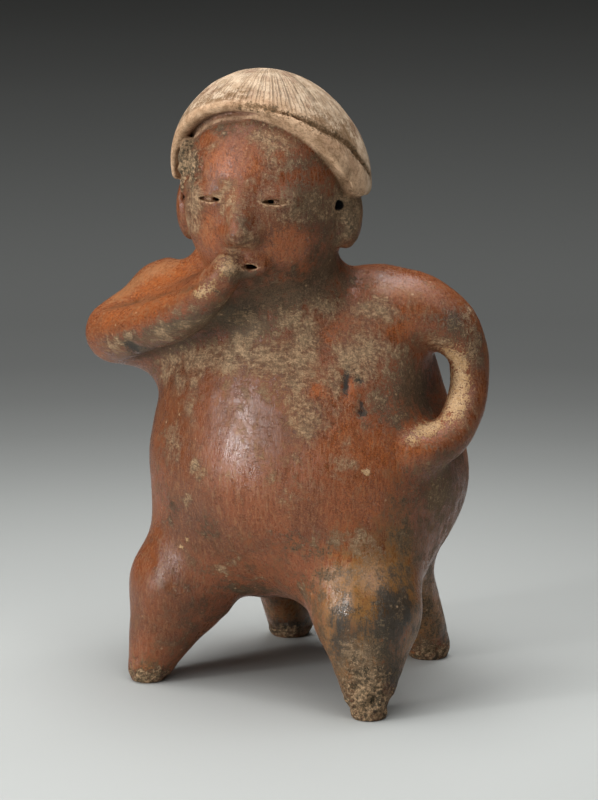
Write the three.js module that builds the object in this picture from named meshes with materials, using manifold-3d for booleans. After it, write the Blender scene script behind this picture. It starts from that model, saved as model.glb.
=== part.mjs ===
// A seated figure of hollow fired clay: a broad pear-shaped body on two bent legs and two short rear legs,
// the right hand raised to the mouth, the left hand on the hip, and a cap with a thick rim on the head.
//
// Millimetres, +Z up. The figure looks along -Y and its own left side is at +X. The origin is on the floor
// under the middle of the figure's bounding box, so the feet stand on z = 0.
//
// The body is worked out as one soft form: ellipsoids and tapered limbs that melt into one another over a
// named width, as coils of wet clay do. Its skin is then meshed, thinned to few triangles where it is
// smooth, and cut flat under the feet and along the slits of the eyes and the mouth.

import * as THREE from 'three';
import { mergeVertices } from 'three/addons/utils/BufferGeometryUtils.js';
import Module from 'manifold-3d';

// Where the figure's midplane stands in the frame whose origin is under the middle of the bounding box.
const MIDPLANE_X = 9.2;
const MIDPLANE_Y = 4;

// Body: belly, chest and rump, and how far they melt together.
const BELLY = { centre: [0, -4, 109], radii: [78, 60, 66] };
const CHEST = { centre: [0, 1, 161], radii: [62, 46, 43] };
const RUMP = { centre: [0, 26, 98], radii: [67, 46, 52] };
const TORSO_MELT = 30;
const NECK = { centre: [0, -20, 200], radii: [30, 28, 26] };
const NECK_MELT = 20;

// Front legs: thigh, knee and foot as [x, y, z, radius], for the right and the left leg.
const RIGHT_LEG = { thigh: [-36, -14, 72, 28], knee: [-50, -34, 47, 24], foot: [-61.4, -47.2, 6, 9.8] };
const LEFT_LEG = { thigh: [36, -14, 72, 28], knee: [54, -36, 48, 24], foot: [61.4, -47.2, 6, 9.8] };
const KNEE_MELT = 6;
const THIGH_MELT = 26;

// Rear legs, alike on both sides.
const REAR_HIP = [30.8, 29.7, 60, 18.4];
const REAR_FOOT = [39.9, 55.7, 6, 11.1];
const REAR_MELT = 18;

// Right arm: a heavy upper arm, and a forearm folded back in front of it up to the mouth.
const RIGHT_SHOULDER = [-47, 2, 185, 27];
const RIGHT_DELTOID = [-75, -3, 179.5, 20.5];
const RIGHT_ARMPIT = [-54, 4, 160, 24.5];
const RIGHT_ELBOW = [-95, -18, 166, 13.5];
const ELBOW_UNDERSIDE = [-95, -18, 166, 12.5];
const SHOULDER_MELT = 4;
const ARMPIT_MELT = 10;
const UPPER_ARM_MELT = 18;
const RIGHT_FOREARM = [
  [-95, -22, 165, 14],
  [-62, -44, 175, 12],
  [-30, -60, 187.5, 10.7],
  [-9, -69, 203, 8.8],
  [1, -72.5, 213, 7],
];
const FOREARM_MELT = 3;
const FOREARM_WEB = [
  [-86, -14, 171, 10],
  [-52, -30, 180, 14],
  [-16, -46, 197, 13],
];
const FOREARM_WEB_MELT = 10;

// Left arm: an even loop from the shoulder round to the hip, standing clear of the side.
const LEFT_ARM = [
  [40, 3, 182, 25],
  [57.2, 6, 185.9, 18],
  [72.8, 10, 179.5, 13.5],
  [79.9, 14, 167.5, 10],
  [81.1, 15, 156.3, 9.3],
  [82.2, 11, 145.5, 9.3],
  [82.6, 2, 135.6, 9.3],
  [80.4, -7, 128.4, 9.5],
  [76, -15, 124.7, 9.2],
  [72, -20, 124, 7.5],
];
const LEFT_ARM_MELT = 8;
const LOOP_HOLLOW = { centre: [82, 0, 150], radii: [17.5, 30, 21] };
const LOOP_HOLLOW_MELT = 8;
const LIMB_STEPS = 8;

// Head: turned a little to the figure's left about its own upright axis.
const HEAD_AXIS = [0, -34];
const HEAD_TURN = 11;
const CRANIUM = { centre: [0, -34, 251], radii: [39.5, 40, 44] };
const JAW = { centre: [0, -37, 229], radii: [33, 33, 35] };
const JAW_MELT = 16;
const HEAD_MELT = 8;
const EAR = { centre: [38.5, -34, 235], radii: [6.5, 11.5, 16] };
const EAR_MELT = 4;

// Face, on plain proportions: eyes at half the head's height, one eye's width apart, and the length of
// the face in thirds from cap to brow, brow to nose base and nose base to chin.
const EYE_LINE = 244.5;
const EYE_OFFSET = 15.8;
const EYE_WIDTH = 13;
const EYE_OPENING = 2.6;
const EYE_MOUND = { y: -66.5, radii: [9, 5.5, 5.5] };
const NOSE_TOP = [0, -70, 253, 3.2];
const NOSE_TIP = [0, -77, 230, 5.4];
const NOSE_WING_FRONT = [4.6, -73.5, 228.5, 4];
const NOSE_WING_BACK = [4.6, -71.5, 228.5, 4];
const NOSE_WING_MELT = 3;
const NOSE_MELT = 6;
const MOUTH_LINE = 214;
const MOUTH_WIDTH = 17;
const MOUTH_OPENING = 2.8;
const LIPS = { centre: [0, -69, 214], radii: [11.5, 4.5, 5.5] };
const FEATURE_MELT = 5;
const SLIT_DEPTH = 5;
const SLIT_CUTTER_LENGTH = 40;
const SLIT_SEGMENTS = 6;
const SKIN_START = -90;
const SKIN_STEP = 0.1;

// Cap: a thick bowl of clay with an arched opening over the forehead.
const CAP = { centre: [1, -34, 251.5], radii: [45.5, 45, 49.5] };
const CAP_LEAN = -0.09;
const CAP_BASE = 245;
const CAP_BASE_TILT = -0.05;
const CAP_ARCH = 42;
const CAP_ARCH_INSET = 0.5;
const CAP_ARCH_SCALE = 42;
const CAP_OPENING_BACK = -32;
const CAP_EDGE_SLANT = 0.8;
const CAP_EDGE_REACH = 2;
const CAP_ROLL = 1.5;
const CAP_ROLL_WIDTH = 6;
const CAP_ROLL_BACK = -14;
const CAP_EDGE_MELT = 3.6;
const CAP_BASE_MELT = 5;
const CAP_SEAT_MELT = 1.5;

// Mesh: sampling step, the box sampled round the figure, and the number of triangles kept.
const STEP = 2.7;
const LOW = [-118, -92, -14];
const HIGH = [106, 92, 310];
const TRIANGLES = 7600;
const SHEET_GAP = 0.25;
const SHORTEST_EDGE = 0.6;
const FLOOR_MARGIN = 0.4;
const FLOOR_CUTTER = 400;

// Settling the mesh on the skin: how far the slope is felt, the least slope believed, the longest move as a
// share of the step, and how often.
const PROBE = 0.05;
const LEAST_SLOPE = 0.4;
const LONGEST_MOVE = 0.25;
const SETTLE_ROUNDS = 2;

// Thinning: how strongly a folded edge is drawn to its middle and how much its length counts, the least
// cosine between a face before and after, and the sizes taken as nothing.
const MIDDLE_PULL = 1e-4;
const LENGTH_WEIGHT = 1e-5;
const LEAST_COSINE = 0.35;
const NO_AREA = 1e-9;
const NO_DETERMINANT = 1e-12;
const PLANE_TERMS = 10;
const WELD_REACH = 1e-4;

// Clay.
const SLIP_RED = 0x9c4a2e;
const SLIP_ROUGHNESS = 0.5;

// Distance functions: negative inside, positive outside.

function ellipsoid({ centre, radii }) {
  return (x, y, z) => {
    const px = (x - centre[0]) / radii[0];
    const py = (y - centre[1]) / radii[1];
    const pz = (z - centre[2]) / radii[2];
    const near = Math.hypot(px, py, pz);
    const slope = Math.hypot(px / radii[0], py / radii[1], pz / radii[2]);
    return (near * (near - 1)) / Math.max(slope, 1e-9);
  };
}

// A limb that tapers from one ball to another; both balls are [x, y, z, radius].
function taper(from, to) {
  const axis = [to[0] - from[0], to[1] - from[1], to[2] - from[2]];
  const length2 = axis[0] ** 2 + axis[1] ** 2 + axis[2] ** 2;
  const shrink = from[3] - to[3];
  const side2 = Math.max(length2 - shrink * shrink, 1e-6);
  return (x, y, z) => {
    const px = x - from[0];
    const py = y - from[1];
    const pz = z - from[2];
    const along = px * axis[0] + py * axis[1] + pz * axis[2];
    const beyond = along - length2;
    const across2 = Math.max((px * px + py * py + pz * pz) * length2 - along * along, 0) * length2;
    const lean = Math.sign(shrink) * shrink * shrink * across2;
    if (Math.sign(beyond) * side2 * beyond * beyond * length2 > lean) {
      return Math.sqrt(across2 + beyond * beyond * length2) / length2 - to[3];
    }
    if (Math.sign(along) * side2 * along * along * length2 < lean) {
      return Math.sqrt(across2 + along * along * length2) / length2 - from[3];
    }
    return (Math.sqrt((across2 * side2) / length2) + along * shrink) / length2 - from[3];
  };
}

function melt(a, b, width) {
  const near = Math.max(width - Math.abs(a - b), 0) / width;
  return Math.min(a, b) - near * near * width * 0.25;
}

function cutBy(a, b, width) {
  return -melt(-a, b, width);
}

// A limb that follows a smooth curve through the given balls.
function limb(balls) {
  const path = new THREE.CatmullRomCurve3(
    balls.map(([x, y, z]) => new THREE.Vector3(x, y, z)), false, 'catmullrom', 0.5);
  const girth = new THREE.CatmullRomCurve3(
    balls.map((ball) => new THREE.Vector3(ball[3], 0, 0)), false, 'catmullrom', 0.5);
  const count = (balls.length - 1) * LIMB_STEPS;
  const pieces = [];
  let last = null;
  for (let i = 0; i <= count; i += 1) {
    const at = path.getPoint(i / count);
    const ball = [at.x, at.y, at.z, girth.getPoint(i / count).x];
    if (last) {
      pieces.push(taper(last, ball));
    }
    last = ball;
  }
  return (x, y, z) => {
    let nearest = Infinity;
    for (const piece of pieces) {
      nearest = Math.min(nearest, piece(x, y, z));
    }
    return nearest;
  };
}

function mirrored(ball) {
  return [-ball[0], ball[1], ball[2], ball[3]];
}

function makeTorso() {
  const belly = ellipsoid(BELLY);
  const chest = ellipsoid(CHEST);
  const rump = ellipsoid(RUMP);
  const hollow = ellipsoid(LOOP_HOLLOW);
  return (x, y, z) => {
    const trunk = melt(melt(belly(x, y, z), chest(x, y, z), TORSO_MELT), rump(x, y, z), TORSO_MELT);
    return cutBy(trunk, hollow(x, y, z), LOOP_HOLLOW_MELT);
  };
}

function makeFrontLeg({ thigh, knee, foot }) {
  const upper = taper(thigh, knee);
  const lower = taper(knee, foot);
  return (x, y, z) => melt(lower(x, y, z), upper(x, y, z), KNEE_MELT);
}

function makeRightUpperArm() {
  const top = taper(RIGHT_SHOULDER, RIGHT_DELTOID);
  const outer = taper(RIGHT_DELTOID, RIGHT_ELBOW);
  const under = taper(RIGHT_ARMPIT, ELBOW_UNDERSIDE);
  return (x, y, z) => {
    const arm = melt(top(x, y, z), outer(x, y, z), SHOULDER_MELT);
    return melt(arm, under(x, y, z), ARMPIT_MELT);
  };
}

function makeFace() {
  const cranium = ellipsoid(CRANIUM);
  const jaw = ellipsoid(JAW);
  const ear = ellipsoid(EAR);
  const mound = ellipsoid({ centre: [EYE_OFFSET, EYE_MOUND.y, EYE_LINE], radii: EYE_MOUND.radii });
  const bridge = taper(NOSE_TOP, NOSE_TIP);
  const wing = taper(NOSE_WING_FRONT, NOSE_WING_BACK);
  const lips = ellipsoid(LIPS);
  return (x, y, z) => {
    const side = Math.abs(x);
    const nose = melt(bridge(x, y, z), wing(side, y, z), NOSE_WING_MELT);
    let face = melt(cranium(x, y, z), jaw(x, y, z), JAW_MELT);
    face = melt(face, mound(side, y, z), FEATURE_MELT);
    face = melt(face, lips(x, y, z), FEATURE_MELT);
    face = melt(face, nose, NOSE_MELT);
    return melt(face, ear(side, y, z), EAR_MELT);
  };
}

function makeCap() {
  const dome = ellipsoid(CAP);
  return (x, y, z) => {
    const leaning = x - CAP_LEAN * (z - CAP.centre[2]);
    const across = leaning - CAP.centre[0];
    const above = z - CAP_BASE - CAP_BASE_TILT * across;
    const halfWidth = CAP.radii[0] - CAP_ARCH_INSET;
    const arch = Math.hypot(across / halfWidth, Math.max(above, 0) / CAP_ARCH);
    const fromRim = (arch - 1) * CAP_ARCH_SCALE;
    const roll = y < CAP_ROLL_BACK ? CAP_ROLL * Math.exp(-((fromRim / CAP_ROLL_WIDTH) ** 2)) : 0;
    const skin = dome(leaning, y, z) - roll;
    const edge = fromRim - CAP_EDGE_SLANT * Math.min(skin, CAP_EDGE_REACH);
    const opening = Math.max(edge, y - CAP_OPENING_BACK);
    return cutBy(cutBy(skin, opening, CAP_EDGE_MELT), above, CAP_BASE_MELT);
  };
}

function turnedWithHead(x, y) {
  const angle = THREE.MathUtils.degToRad(HEAD_TURN);
  const dx = x - HEAD_AXIS[0];
  const dy = y - HEAD_AXIS[1];
  return [
    HEAD_AXIS[0] + dx * Math.cos(angle) + dy * Math.sin(angle),
    HEAD_AXIS[1] - dx * Math.sin(angle) + dy * Math.cos(angle),
  ];
}

function makeFigure() {
  const torso = makeTorso();
  const neck = ellipsoid(NECK);
  const rightLeg = makeFrontLeg(RIGHT_LEG);
  const leftLeg = makeFrontLeg(LEFT_LEG);
  const rightRear = taper(mirrored(REAR_HIP), mirrored(REAR_FOOT));
  const leftRear = taper(REAR_HIP, REAR_FOOT);
  const upperArm = makeRightUpperArm();
  const forearm = limb(RIGHT_FOREARM);
  const web = limb(FOREARM_WEB);
  const leftArm = limb(LEFT_ARM);
  const face = makeFace();
  const cap = makeCap();
  return (frameX, frameY, z) => {
    const x = frameX - MIDPLANE_X;
    const y = frameY - MIDPLANE_Y;
    let form = torso(x, y, z);
    form = melt(form, rightLeg(x, y, z), THIGH_MELT);
    form = melt(form, rightRear(x, y, z), REAR_MELT);
    form = melt(form, leftLeg(x, y, z), THIGH_MELT);
    form = melt(form, leftRear(x, y, z), REAR_MELT);
    form = melt(form, neck(x, y, z), NECK_MELT);
    form = melt(form, upperArm(x, y, z), UPPER_ARM_MELT);
    form = melt(form, web(x, y, z), FOREARM_WEB_MELT);
    form = melt(form, leftArm(x, y, z), LEFT_ARM_MELT);
    const [hx, hy] = turnedWithHead(x, y);
    form = melt(form, face(hx, hy, z), HEAD_MELT);
    form = melt(form, forearm(x, y, z), FOREARM_MELT);
    return melt(form, cap(hx, hy, z), CAP_SEAT_MELT);
  };
}

// A grid cell's corners are numbered by bits: 1 for its far side in x, 2 in y and 4 in z. Its twelve edges
// are numbered by direction and by which side of the cell they lie on.
function edgeNumber(axis, corner) {
  const u = (corner >> ((axis + 1) % 3)) & 1;
  const v = (corner >> ((axis + 2) % 3)) & 1;
  return axis * 4 + u + 2 * v;
}

function cellEdges() {
  const edges = [];
  for (let axis = 0; axis < 3; axis += 1) {
    for (let from = 0; from < 8; from += 1) {
      if (!(from & (1 << axis))) {
        edges[edgeNumber(axis, from)] = { from, to: from | (1 << axis) };
      }
    }
  }
  return edges;
}

// The four corners of each side of a cell, in order round it.
function cellSides() {
  const sides = [];
  for (let axis = 0; axis < 3; axis += 1) {
    const u = 1 << ((axis + 1) % 3);
    const v = 1 << ((axis + 2) % 3);
    for (const base of [0, 1 << axis]) {
      sides.push([base, base | u, base | u | v, base | v]);
    }
  }
  return sides;
}

const EDGES = cellEdges();
const SIDES = cellSides();

// Groups the edges of a cell that the skin crosses: one group for each sheet of skin in the cell.
function sheetsInCell(values) {
  const group = EDGES.map((edge, n) => (values[edge.from] < 0 !== values[edge.to] < 0 ? n : -1));
  const join = (first, second) => {
    const gone = group[second];
    group.forEach((value, n) => {
      group[n] = value === gone ? group[first] : value;
    });
  };
  for (const ring of SIDES) {
    const edges = ring.map((corner, n) => {
      const next = ring[(n + 1) % 4];
      return edgeNumber(Math.log2(corner ^ next), corner & next);
    });
    const crossed = edges.filter((edge) => group[edge] >= 0);
    if (crossed.length === 2) {
      join(crossed[0], crossed[1]);
    } else if (crossed.length === 4) {
      ring.forEach((corner, n) => values[corner] < 0 && join(edges[(n + 3) % 4], edges[n]));
    }
  }
  return group;
}

// The middle of the places where one sheet crosses a cell's edges.
function sheetPoint(values, group, sheet, cell) {
  const sum = [0, 0, 0];
  let crossings = 0;
  EDGES.forEach(({ from, to }, n) => {
    if (group[n] !== sheet) {
      return;
    }
    const share = values[from] / (values[from] - values[to]);
    for (let axis = 0; axis < 3; axis += 1) {
      const near = (from >> axis) & 1;
      const far = (to >> axis) & 1;
      sum[axis] += near + share * (far - near);
    }
    crossings += 1;
  });
  return cell.map((start, axis) => LOW[axis] + (start + sum[axis] / crossings) * STEP);
}

// Meshes the skin of a form: a vertex for each sheet of skin in each cell of a grid, and a pair of
// triangles across each grid edge that the skin crosses.
function meshForm(form) {
  const count = LOW.map((low, axis) => Math.ceil((HIGH[axis] - low) / STEP) + 1);
  const stride = [1, count[0], count[0] * count[1]];
  const total = stride[2] * count[2];
  const values = new Float64Array(total);
  const indexOf = (cell) => cell[0] + cell[1] * stride[1] + cell[2] * stride[2];
  const eachCell = (first, short, visit) => {
    for (let k = first; k < count[2] - short; k += 1) {
      for (let j = first; j < count[1] - short; j += 1) {
        for (let i = first; i < count[0] - short; i += 1) {
          visit([i, j, k]);
        }
      }
    }
  };
  eachCell(0, 0, (cell) => {
    values[indexOf(cell)] = form(...cell.map((value, axis) => LOW[axis] + value * STEP));
  });
  const offsets = [];
  for (let corner = 0; corner < 8; corner += 1) {
    offsets.push(indexOf([corner & 1, (corner >> 1) & 1, corner >> 2]));
  }
  const vertexAt = new Int32Array(total * EDGES.length).fill(-1);
  const points = [];
  eachCell(0, 1, (cell) => {
    const index = indexOf(cell);
    const corners = offsets.map((offset) => values[index + offset]);
    if (corners.every((value) => value < 0) || corners.every((value) => value >= 0)) {
      return;
    }
    const group = sheetsInCell(corners);
    for (const sheet of new Set(group.filter((value) => value >= 0))) {
      group.forEach((value, edge) => {
        if (value === sheet) {
          vertexAt[index * EDGES.length + edge] = points.length;
        }
      });
      points.push(sheetPoint(corners, group, sheet, cell));
    }
  });
  const faces = [];
  const turns = [[1, 1], [0, 1], [0, 0], [1, 0]];
  eachCell(1, 1, (cell) => {
    const index = indexOf(cell);
    for (let axis = 0; axis < 3; axis += 1) {
      const inside = values[index] < 0;
      if (inside === values[index + stride[axis]] < 0) {
        continue;
      }
      const u = (axis + 1) % 3;
      const v = (axis + 2) % 3;
      const quad = turns.map(([du, dv]) => {
        const owner = index - du * stride[u] - dv * stride[v];
        return vertexAt[owner * EDGES.length + axis * 4 + du + 2 * dv];
      });
      if (!inside) {
        quad.reverse();
      }
      faces.push([quad[0], quad[1], quad[2]], [quad[0], quad[2], quad[3]]);
    }
  });
  return { points: points.map((point) => settle(form, point)), faces };
}

// Moves a point onto the skin along the form's slope, by less than half a grid step.
function settle(form, point) {
  const longest = STEP * LONGEST_MOVE;
  let [x, y, z] = point;
  for (let round = 0; round < SETTLE_ROUNDS; round += 1) {
    const distance = form(x, y, z);
    const gx = form(x + PROBE, y, z) - form(x - PROBE, y, z);
    const gy = form(x, y + PROBE, z) - form(x, y - PROBE, z);
    const gz = form(x, y, z + PROBE) - form(x, y, z - PROBE);
    const size = Math.hypot(gx, gy, gz);
    const slope = Math.max(size / (2 * PROBE), LEAST_SLOPE);
    const move = THREE.MathUtils.clamp(distance / slope, -longest, longest);
    x -= (move * gx) / size;
    y -= (move * gy) / size;
    z -= (move * gz) / size;
  }
  return [x, y, z];
}

// Groups the faces round a vertex into sheets: faces that follow one another round it by shared edges.
function sheetsRound(vertex, ring) {
  const left = new Set(ring);
  const sheets = [];
  while (left.size > 0) {
    const queue = [left.values().next().value];
    const sheet = [];
    left.delete(queue[0]);
    while (queue.length > 0) {
      const face = queue.pop();
      sheet.push(face);
      for (const other of left) {
        if (other.some((corner) => corner !== vertex && face.includes(corner))) {
          left.delete(other);
          queue.push(other);
        }
      }
    }
    sheets.push(sheet);
  }
  return sheets;
}

function faceNormal(points, [a, b, c]) {
  const from = new THREE.Vector3(...points[a]);
  const first = new THREE.Vector3(...points[b]).sub(from);
  return first.cross(new THREE.Vector3(...points[c]).sub(from));
}

// Where two sheets of the skin meet in one vertex, gives each sheet its own, drawn back from the other.
function partSheets({ points, faces }) {
  const around = points.map(() => []);
  faces.forEach((face) => face.forEach((vertex) => around[vertex].push(face)));
  around.forEach((ring, vertex) => {
    const sheets = sheetsRound(vertex, ring);
    if (sheets.length < 2) {
      return;
    }
    const place = new THREE.Vector3(...points[vertex]);
    const backs = sheets.map((sheet) => {
      const normal = new THREE.Vector3();
      sheet.forEach((face) => normal.add(faceNormal(points, face)));
      return normal.normalize().multiplyScalar(-SHEET_GAP).add(place);
    });
    sheets.forEach((sheet, n) => {
      const own = n === 0 ? vertex : points.length;
      points[own] = backs[n].toArray();
      sheet.forEach((face) => {
        face[face.indexOf(vertex)] = own;
      });
    });
  });
  return { points, faces };
}

// Thins the mesh by folding away the edges that change the skin least, until the wanted count is left.
class Thinner {
  constructor({ points, faces }) {
    this.points = points;
    this.faces = faces;
    this.alive = faces.length;
    this.around = points.map(() => new Set());
    this.plane = points.map(() => new Float64Array(PLANE_TERMS));
    this.stamp = new Int32Array(points.length);
    this.heap = [];
    faces.forEach((face, f) => {
      face.forEach((v) => this.around[v].add(f));
      this.addPlane(face);
    });
    points.forEach((point, v) => this.neighbours(v).forEach((w) => v < w && this.push(v, w)));
  }

  normal([a, b, c], replaced = -1, place = null) {
    const at = (v) => (v === replaced ? place : this.points[v]);
    const [pa, pb, pc] = [at(a), at(b), at(c)];
    const u = [pb[0] - pa[0], pb[1] - pa[1], pb[2] - pa[2]];
    const w = [pc[0] - pa[0], pc[1] - pa[1], pc[2] - pa[2]];
    return [u[1] * w[2] - u[2] * w[1], u[2] * w[0] - u[0] * w[2], u[0] * w[1] - u[1] * w[0]];
  }

  addPlane(face) {
    const raw = this.normal(face);
    const area = Math.hypot(...raw);
    if (area < NO_AREA) {
      return;
    }
    const [a, b, c] = raw.map((value) => value / area);
    const p = this.points[face[0]];
    const d = -(a * p[0] + b * p[1] + c * p[2]);
    const terms = [a * a, a * b, a * c, a * d, b * b, b * c, b * d, c * c, c * d, d * d];
    face.forEach((v) => terms.forEach((term, n) => {
      this.plane[v][n] += term * area;
    }));
  }

  neighbours(v) {
    const found = new Set();
    this.around[v].forEach((f) => this.faces[f].forEach((w) => w !== v && found.add(w)));
    return found;
  }

  cost(q, [x, y, z]) {
    return q[0] * x * x + 2 * q[1] * x * y + 2 * q[2] * x * z + 2 * q[3] * x + q[4] * y * y
      + 2 * q[5] * y * z + 2 * q[6] * y + q[7] * z * z + 2 * q[8] * z + q[9];
  }

  // The point that lies best on all the planes of both ends, or the middle where that isn't clear.
  best(q, a, b) {
    const middle = [0, 1, 2].map((n) => (this.points[a][n] + this.points[b][n]) / 2);
    const pull = (q[0] + q[4] + q[7]) * MIDDLE_PULL;
    const m = new THREE.Matrix3();
    m.set(q[0] + pull, q[1], q[2], q[1], q[4] + pull, q[5], q[2], q[5], q[7] + pull);
    if (Math.abs(m.determinant()) < NO_DETERMINANT) {
      return middle;
    }
    const drawn = [q[3], q[6], q[8]].map((term, n) => pull * middle[n] - term);
    const place = new THREE.Vector3(...drawn).applyMatrix3(m.invert()).toArray();
    const reach = Math.hypot(...[0, 1, 2].map((n) => this.points[a][n] - this.points[b][n]));
    const shift = Math.hypot(...[0, 1, 2].map((n) => place[n] - middle[n]));
    return shift > reach ? middle : place;
  }

  push(a, b) {
    const q = this.plane[a].map((value, n) => value + this.plane[b][n]);
    const place = this.best(q, a, b);
    const reach2 = [0, 1, 2].reduce((sum, n) => sum + (this.points[a][n] - this.points[b][n]) ** 2, 0);
    const cost = Math.max(this.cost(q, place), 0) + reach2 * reach2 * LENGTH_WEIGHT;
    this.heap.push({ cost, a, b, place, age: this.stamp[a] + this.stamp[b] });
    let i = this.heap.length - 1;
    while (i > 0 && this.heap[(i - 1) >> 1].cost > this.heap[i].cost) {
      const up = (i - 1) >> 1;
      [this.heap[i], this.heap[up]] = [this.heap[up], this.heap[i]];
      i = up;
    }
  }

  pop() {
    const top = this.heap[0];
    const last = this.heap.pop();
    if (this.heap.length > 0) {
      this.heap[0] = last;
      let i = 0;
      for (;;) {
        let low = i;
        for (const child of [2 * i + 1, 2 * i + 2]) {
          if (child < this.heap.length && this.heap[child].cost < this.heap[low].cost) {
            low = child;
          }
        }
        if (low === i) {
          break;
        }
        [this.heap[i], this.heap[low]] = [this.heap[low], this.heap[i]];
        i = low;
      }
    }
    return top;
  }

  // Whether moving v to a new place keeps each face round it, but those with the other end, unflipped.
  keepsFaces(v, other, place) {
    for (const f of this.around[v]) {
      const face = this.faces[f];
      if (face.includes(other)) {
        continue;
      }
      const before = this.normal(face);
      const after = this.normal(face, v, place);
      const dot = before[0] * after[0] + before[1] * after[1] + before[2] * after[2];
      if (dot < LEAST_COSINE * Math.hypot(...before) * Math.hypot(...after)) {
        return false;
      }
    }
    return true;
  }

  fold({ a, b, place }) {
    const shared = [...this.neighbours(a)].filter((v) => this.neighbours(b).has(v));
    if (shared.length !== 2 || !this.keepsFaces(a, b, place) || !this.keepsFaces(b, a, place)) {
      return;
    }
    const crowded = [...this.neighbours(a), ...this.neighbours(b)].some((v) => v !== a && v !== b
      && Math.hypot(...place.map((value, n) => value - this.points[v][n])) < SHORTEST_EDGE);
    if (crowded) {
      return;
    }
    this.points[a] = place;
    this.plane[b].forEach((value, n) => {
      this.plane[a][n] += value;
    });
    for (const f of this.around[b]) {
      const face = this.faces[f];
      if (face.includes(a)) {
        face.forEach((v) => this.around[v].delete(f));
        this.faces[f] = null;
        this.alive -= 1;
      } else {
        face[face.indexOf(b)] = a;
        this.around[a].add(f);
      }
    }
    this.around[b] = new Set();
    this.stamp[b] = -1;
    this.stamp[a] += 1;
    for (const v of this.neighbours(a)) {
      this.push(Math.min(a, v), Math.max(a, v));
    }
  }

  run(wanted) {
    while (this.alive > wanted && this.heap.length > 0) {
      const edge = this.pop();
      const gone = this.stamp[edge.a] < 0 || this.stamp[edge.b] < 0;
      if (!gone && edge.age === this.stamp[edge.a] + this.stamp[edge.b]) {
        this.fold(edge);
      }
    }
    return { points: this.points, faces: this.faces.filter((face) => face) };
  }
}

const wasm = await Module();
wasm.setup();

function solidOf(positions, indices) {
  const mesh = new wasm.Mesh({
    numProp: 3,
    vertProperties: Float32Array.from(positions),
    triVerts: Uint32Array.from(indices),
  });
  return new wasm.Manifold(mesh);
}

function solidOfForm({ points, faces }) {
  const used = new Map();
  const positions = [];
  const indices = faces.flat().map((v) => {
    if (!used.has(v)) {
      used.set(v, used.size);
      positions.push(...points[v]);
    }
    return used.get(v);
  });
  return solidOf(positions, indices);
}

function solidOfGeometry(geometry) {
  const plain = geometry.clone();
  plain.deleteAttribute('normal');
  plain.deleteAttribute('uv');
  const merged = mergeVertices(plain, WELD_REACH);
  return solidOf(merged.attributes.position.array, merged.index.array);
}

// A slit shaped like a lens, cut straight in along +Y at a place on the face.
function makeSlit(x, y, z, width, opening) {
  const lens = new THREE.Shape();
  lens.moveTo(-width / 2, 0);
  lens.quadraticCurveTo(0, opening, width / 2, 0);
  lens.quadraticCurveTo(0, -opening, -width / 2, 0);
  const settings = { depth: SLIT_CUTTER_LENGTH, bevelEnabled: false, curveSegments: SLIT_SEGMENTS };
  const cutter = new THREE.ExtrudeGeometry(lens, settings);
  cutter.rotateX(Math.PI / 2);
  cutter.translate(x, y, z);
  cutter.translate(-HEAD_AXIS[0], -HEAD_AXIS[1], 0);
  cutter.rotateZ(THREE.MathUtils.degToRad(HEAD_TURN));
  cutter.translate(HEAD_AXIS[0] + MIDPLANE_X, HEAD_AXIS[1] + MIDPLANE_Y, 0);
  return solidOfGeometry(cutter);
}

// Moves the vertices that lie almost on the floor just below it, so the cut leaves no slivers.
function clearFloor({ points, faces }) {
  points.forEach((point) => {
    point[2] = Math.abs(point[2]) < FLOOR_MARGIN ? -FLOOR_MARGIN : point[2];
  });
  return { points, faces };
}

function makeFloorCutter() {
  const floor = new THREE.BoxGeometry(FLOOR_CUTTER, FLOOR_CUTTER, FLOOR_CUTTER);
  floor.translate(0, 0, -FLOOR_CUTTER / 2);
  return solidOfGeometry(floor);
}

// Where the face's skin lies, in y, at a place on it.
function skinDepth(side, z) {
  const face = makeFace();
  let y = SKIN_START;
  while (face(side, y, z) > 0) {
    y += SKIN_STEP;
  }
  return y;
}

function makeFigureSolid() {
  const thinned = new Thinner(partSheets(meshForm(makeFigure()))).run(TRIANGLES);
  let solid = solidOfForm(clearFloor(thinned)).subtract(makeFloorCutter());
  for (const side of [-EYE_OFFSET, EYE_OFFSET]) {
    const floorOfEye = skinDepth(side, EYE_LINE) + SLIT_DEPTH;
    solid = solid.subtract(makeSlit(side, floorOfEye, EYE_LINE, EYE_WIDTH, EYE_OPENING));
  }
  const floorOfMouth = skinDepth(0, MOUTH_LINE) + SLIT_DEPTH;
  return solid.subtract(makeSlit(0, floorOfMouth, MOUTH_LINE, MOUTH_WIDTH, MOUTH_OPENING));
}

function geometryOf(solid) {
  const mesh = solid.getMesh();
  const geometry = new THREE.BufferGeometry();
  geometry.setAttribute('position', new THREE.Float32BufferAttribute(mesh.vertProperties, 3));
  geometry.setIndex(new THREE.Uint32BufferAttribute(mesh.triVerts, 1));
  geometry.computeVertexNormals();
  return geometry;
}

const figure = new THREE.Group();
const clay = new THREE.MeshStandardMaterial({ color: SLIP_RED, roughness: SLIP_ROUGHNESS, metalness: 0 });
const body = new THREE.Mesh(geometryOf(makeFigureSolid()), clay);
body.name = 'seated_figure';
figure.add(body);

export default figure;
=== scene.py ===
"""Looks of the seated clay figure: a fine mesh of the whole body with its relief, a layered clay
material, a plain pale floor, soft studio light and a camera at the photograph's angle.

The form is worked out in millimetres in the shared frame: +Z up, the figure looks along -Y, its own left
side is at +X, and the origin is on the floor under the middle of its box. The mesh is in metres.
"""
import math

import bpy
import numpy as np
from mathutils import Matrix, Vector


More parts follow.
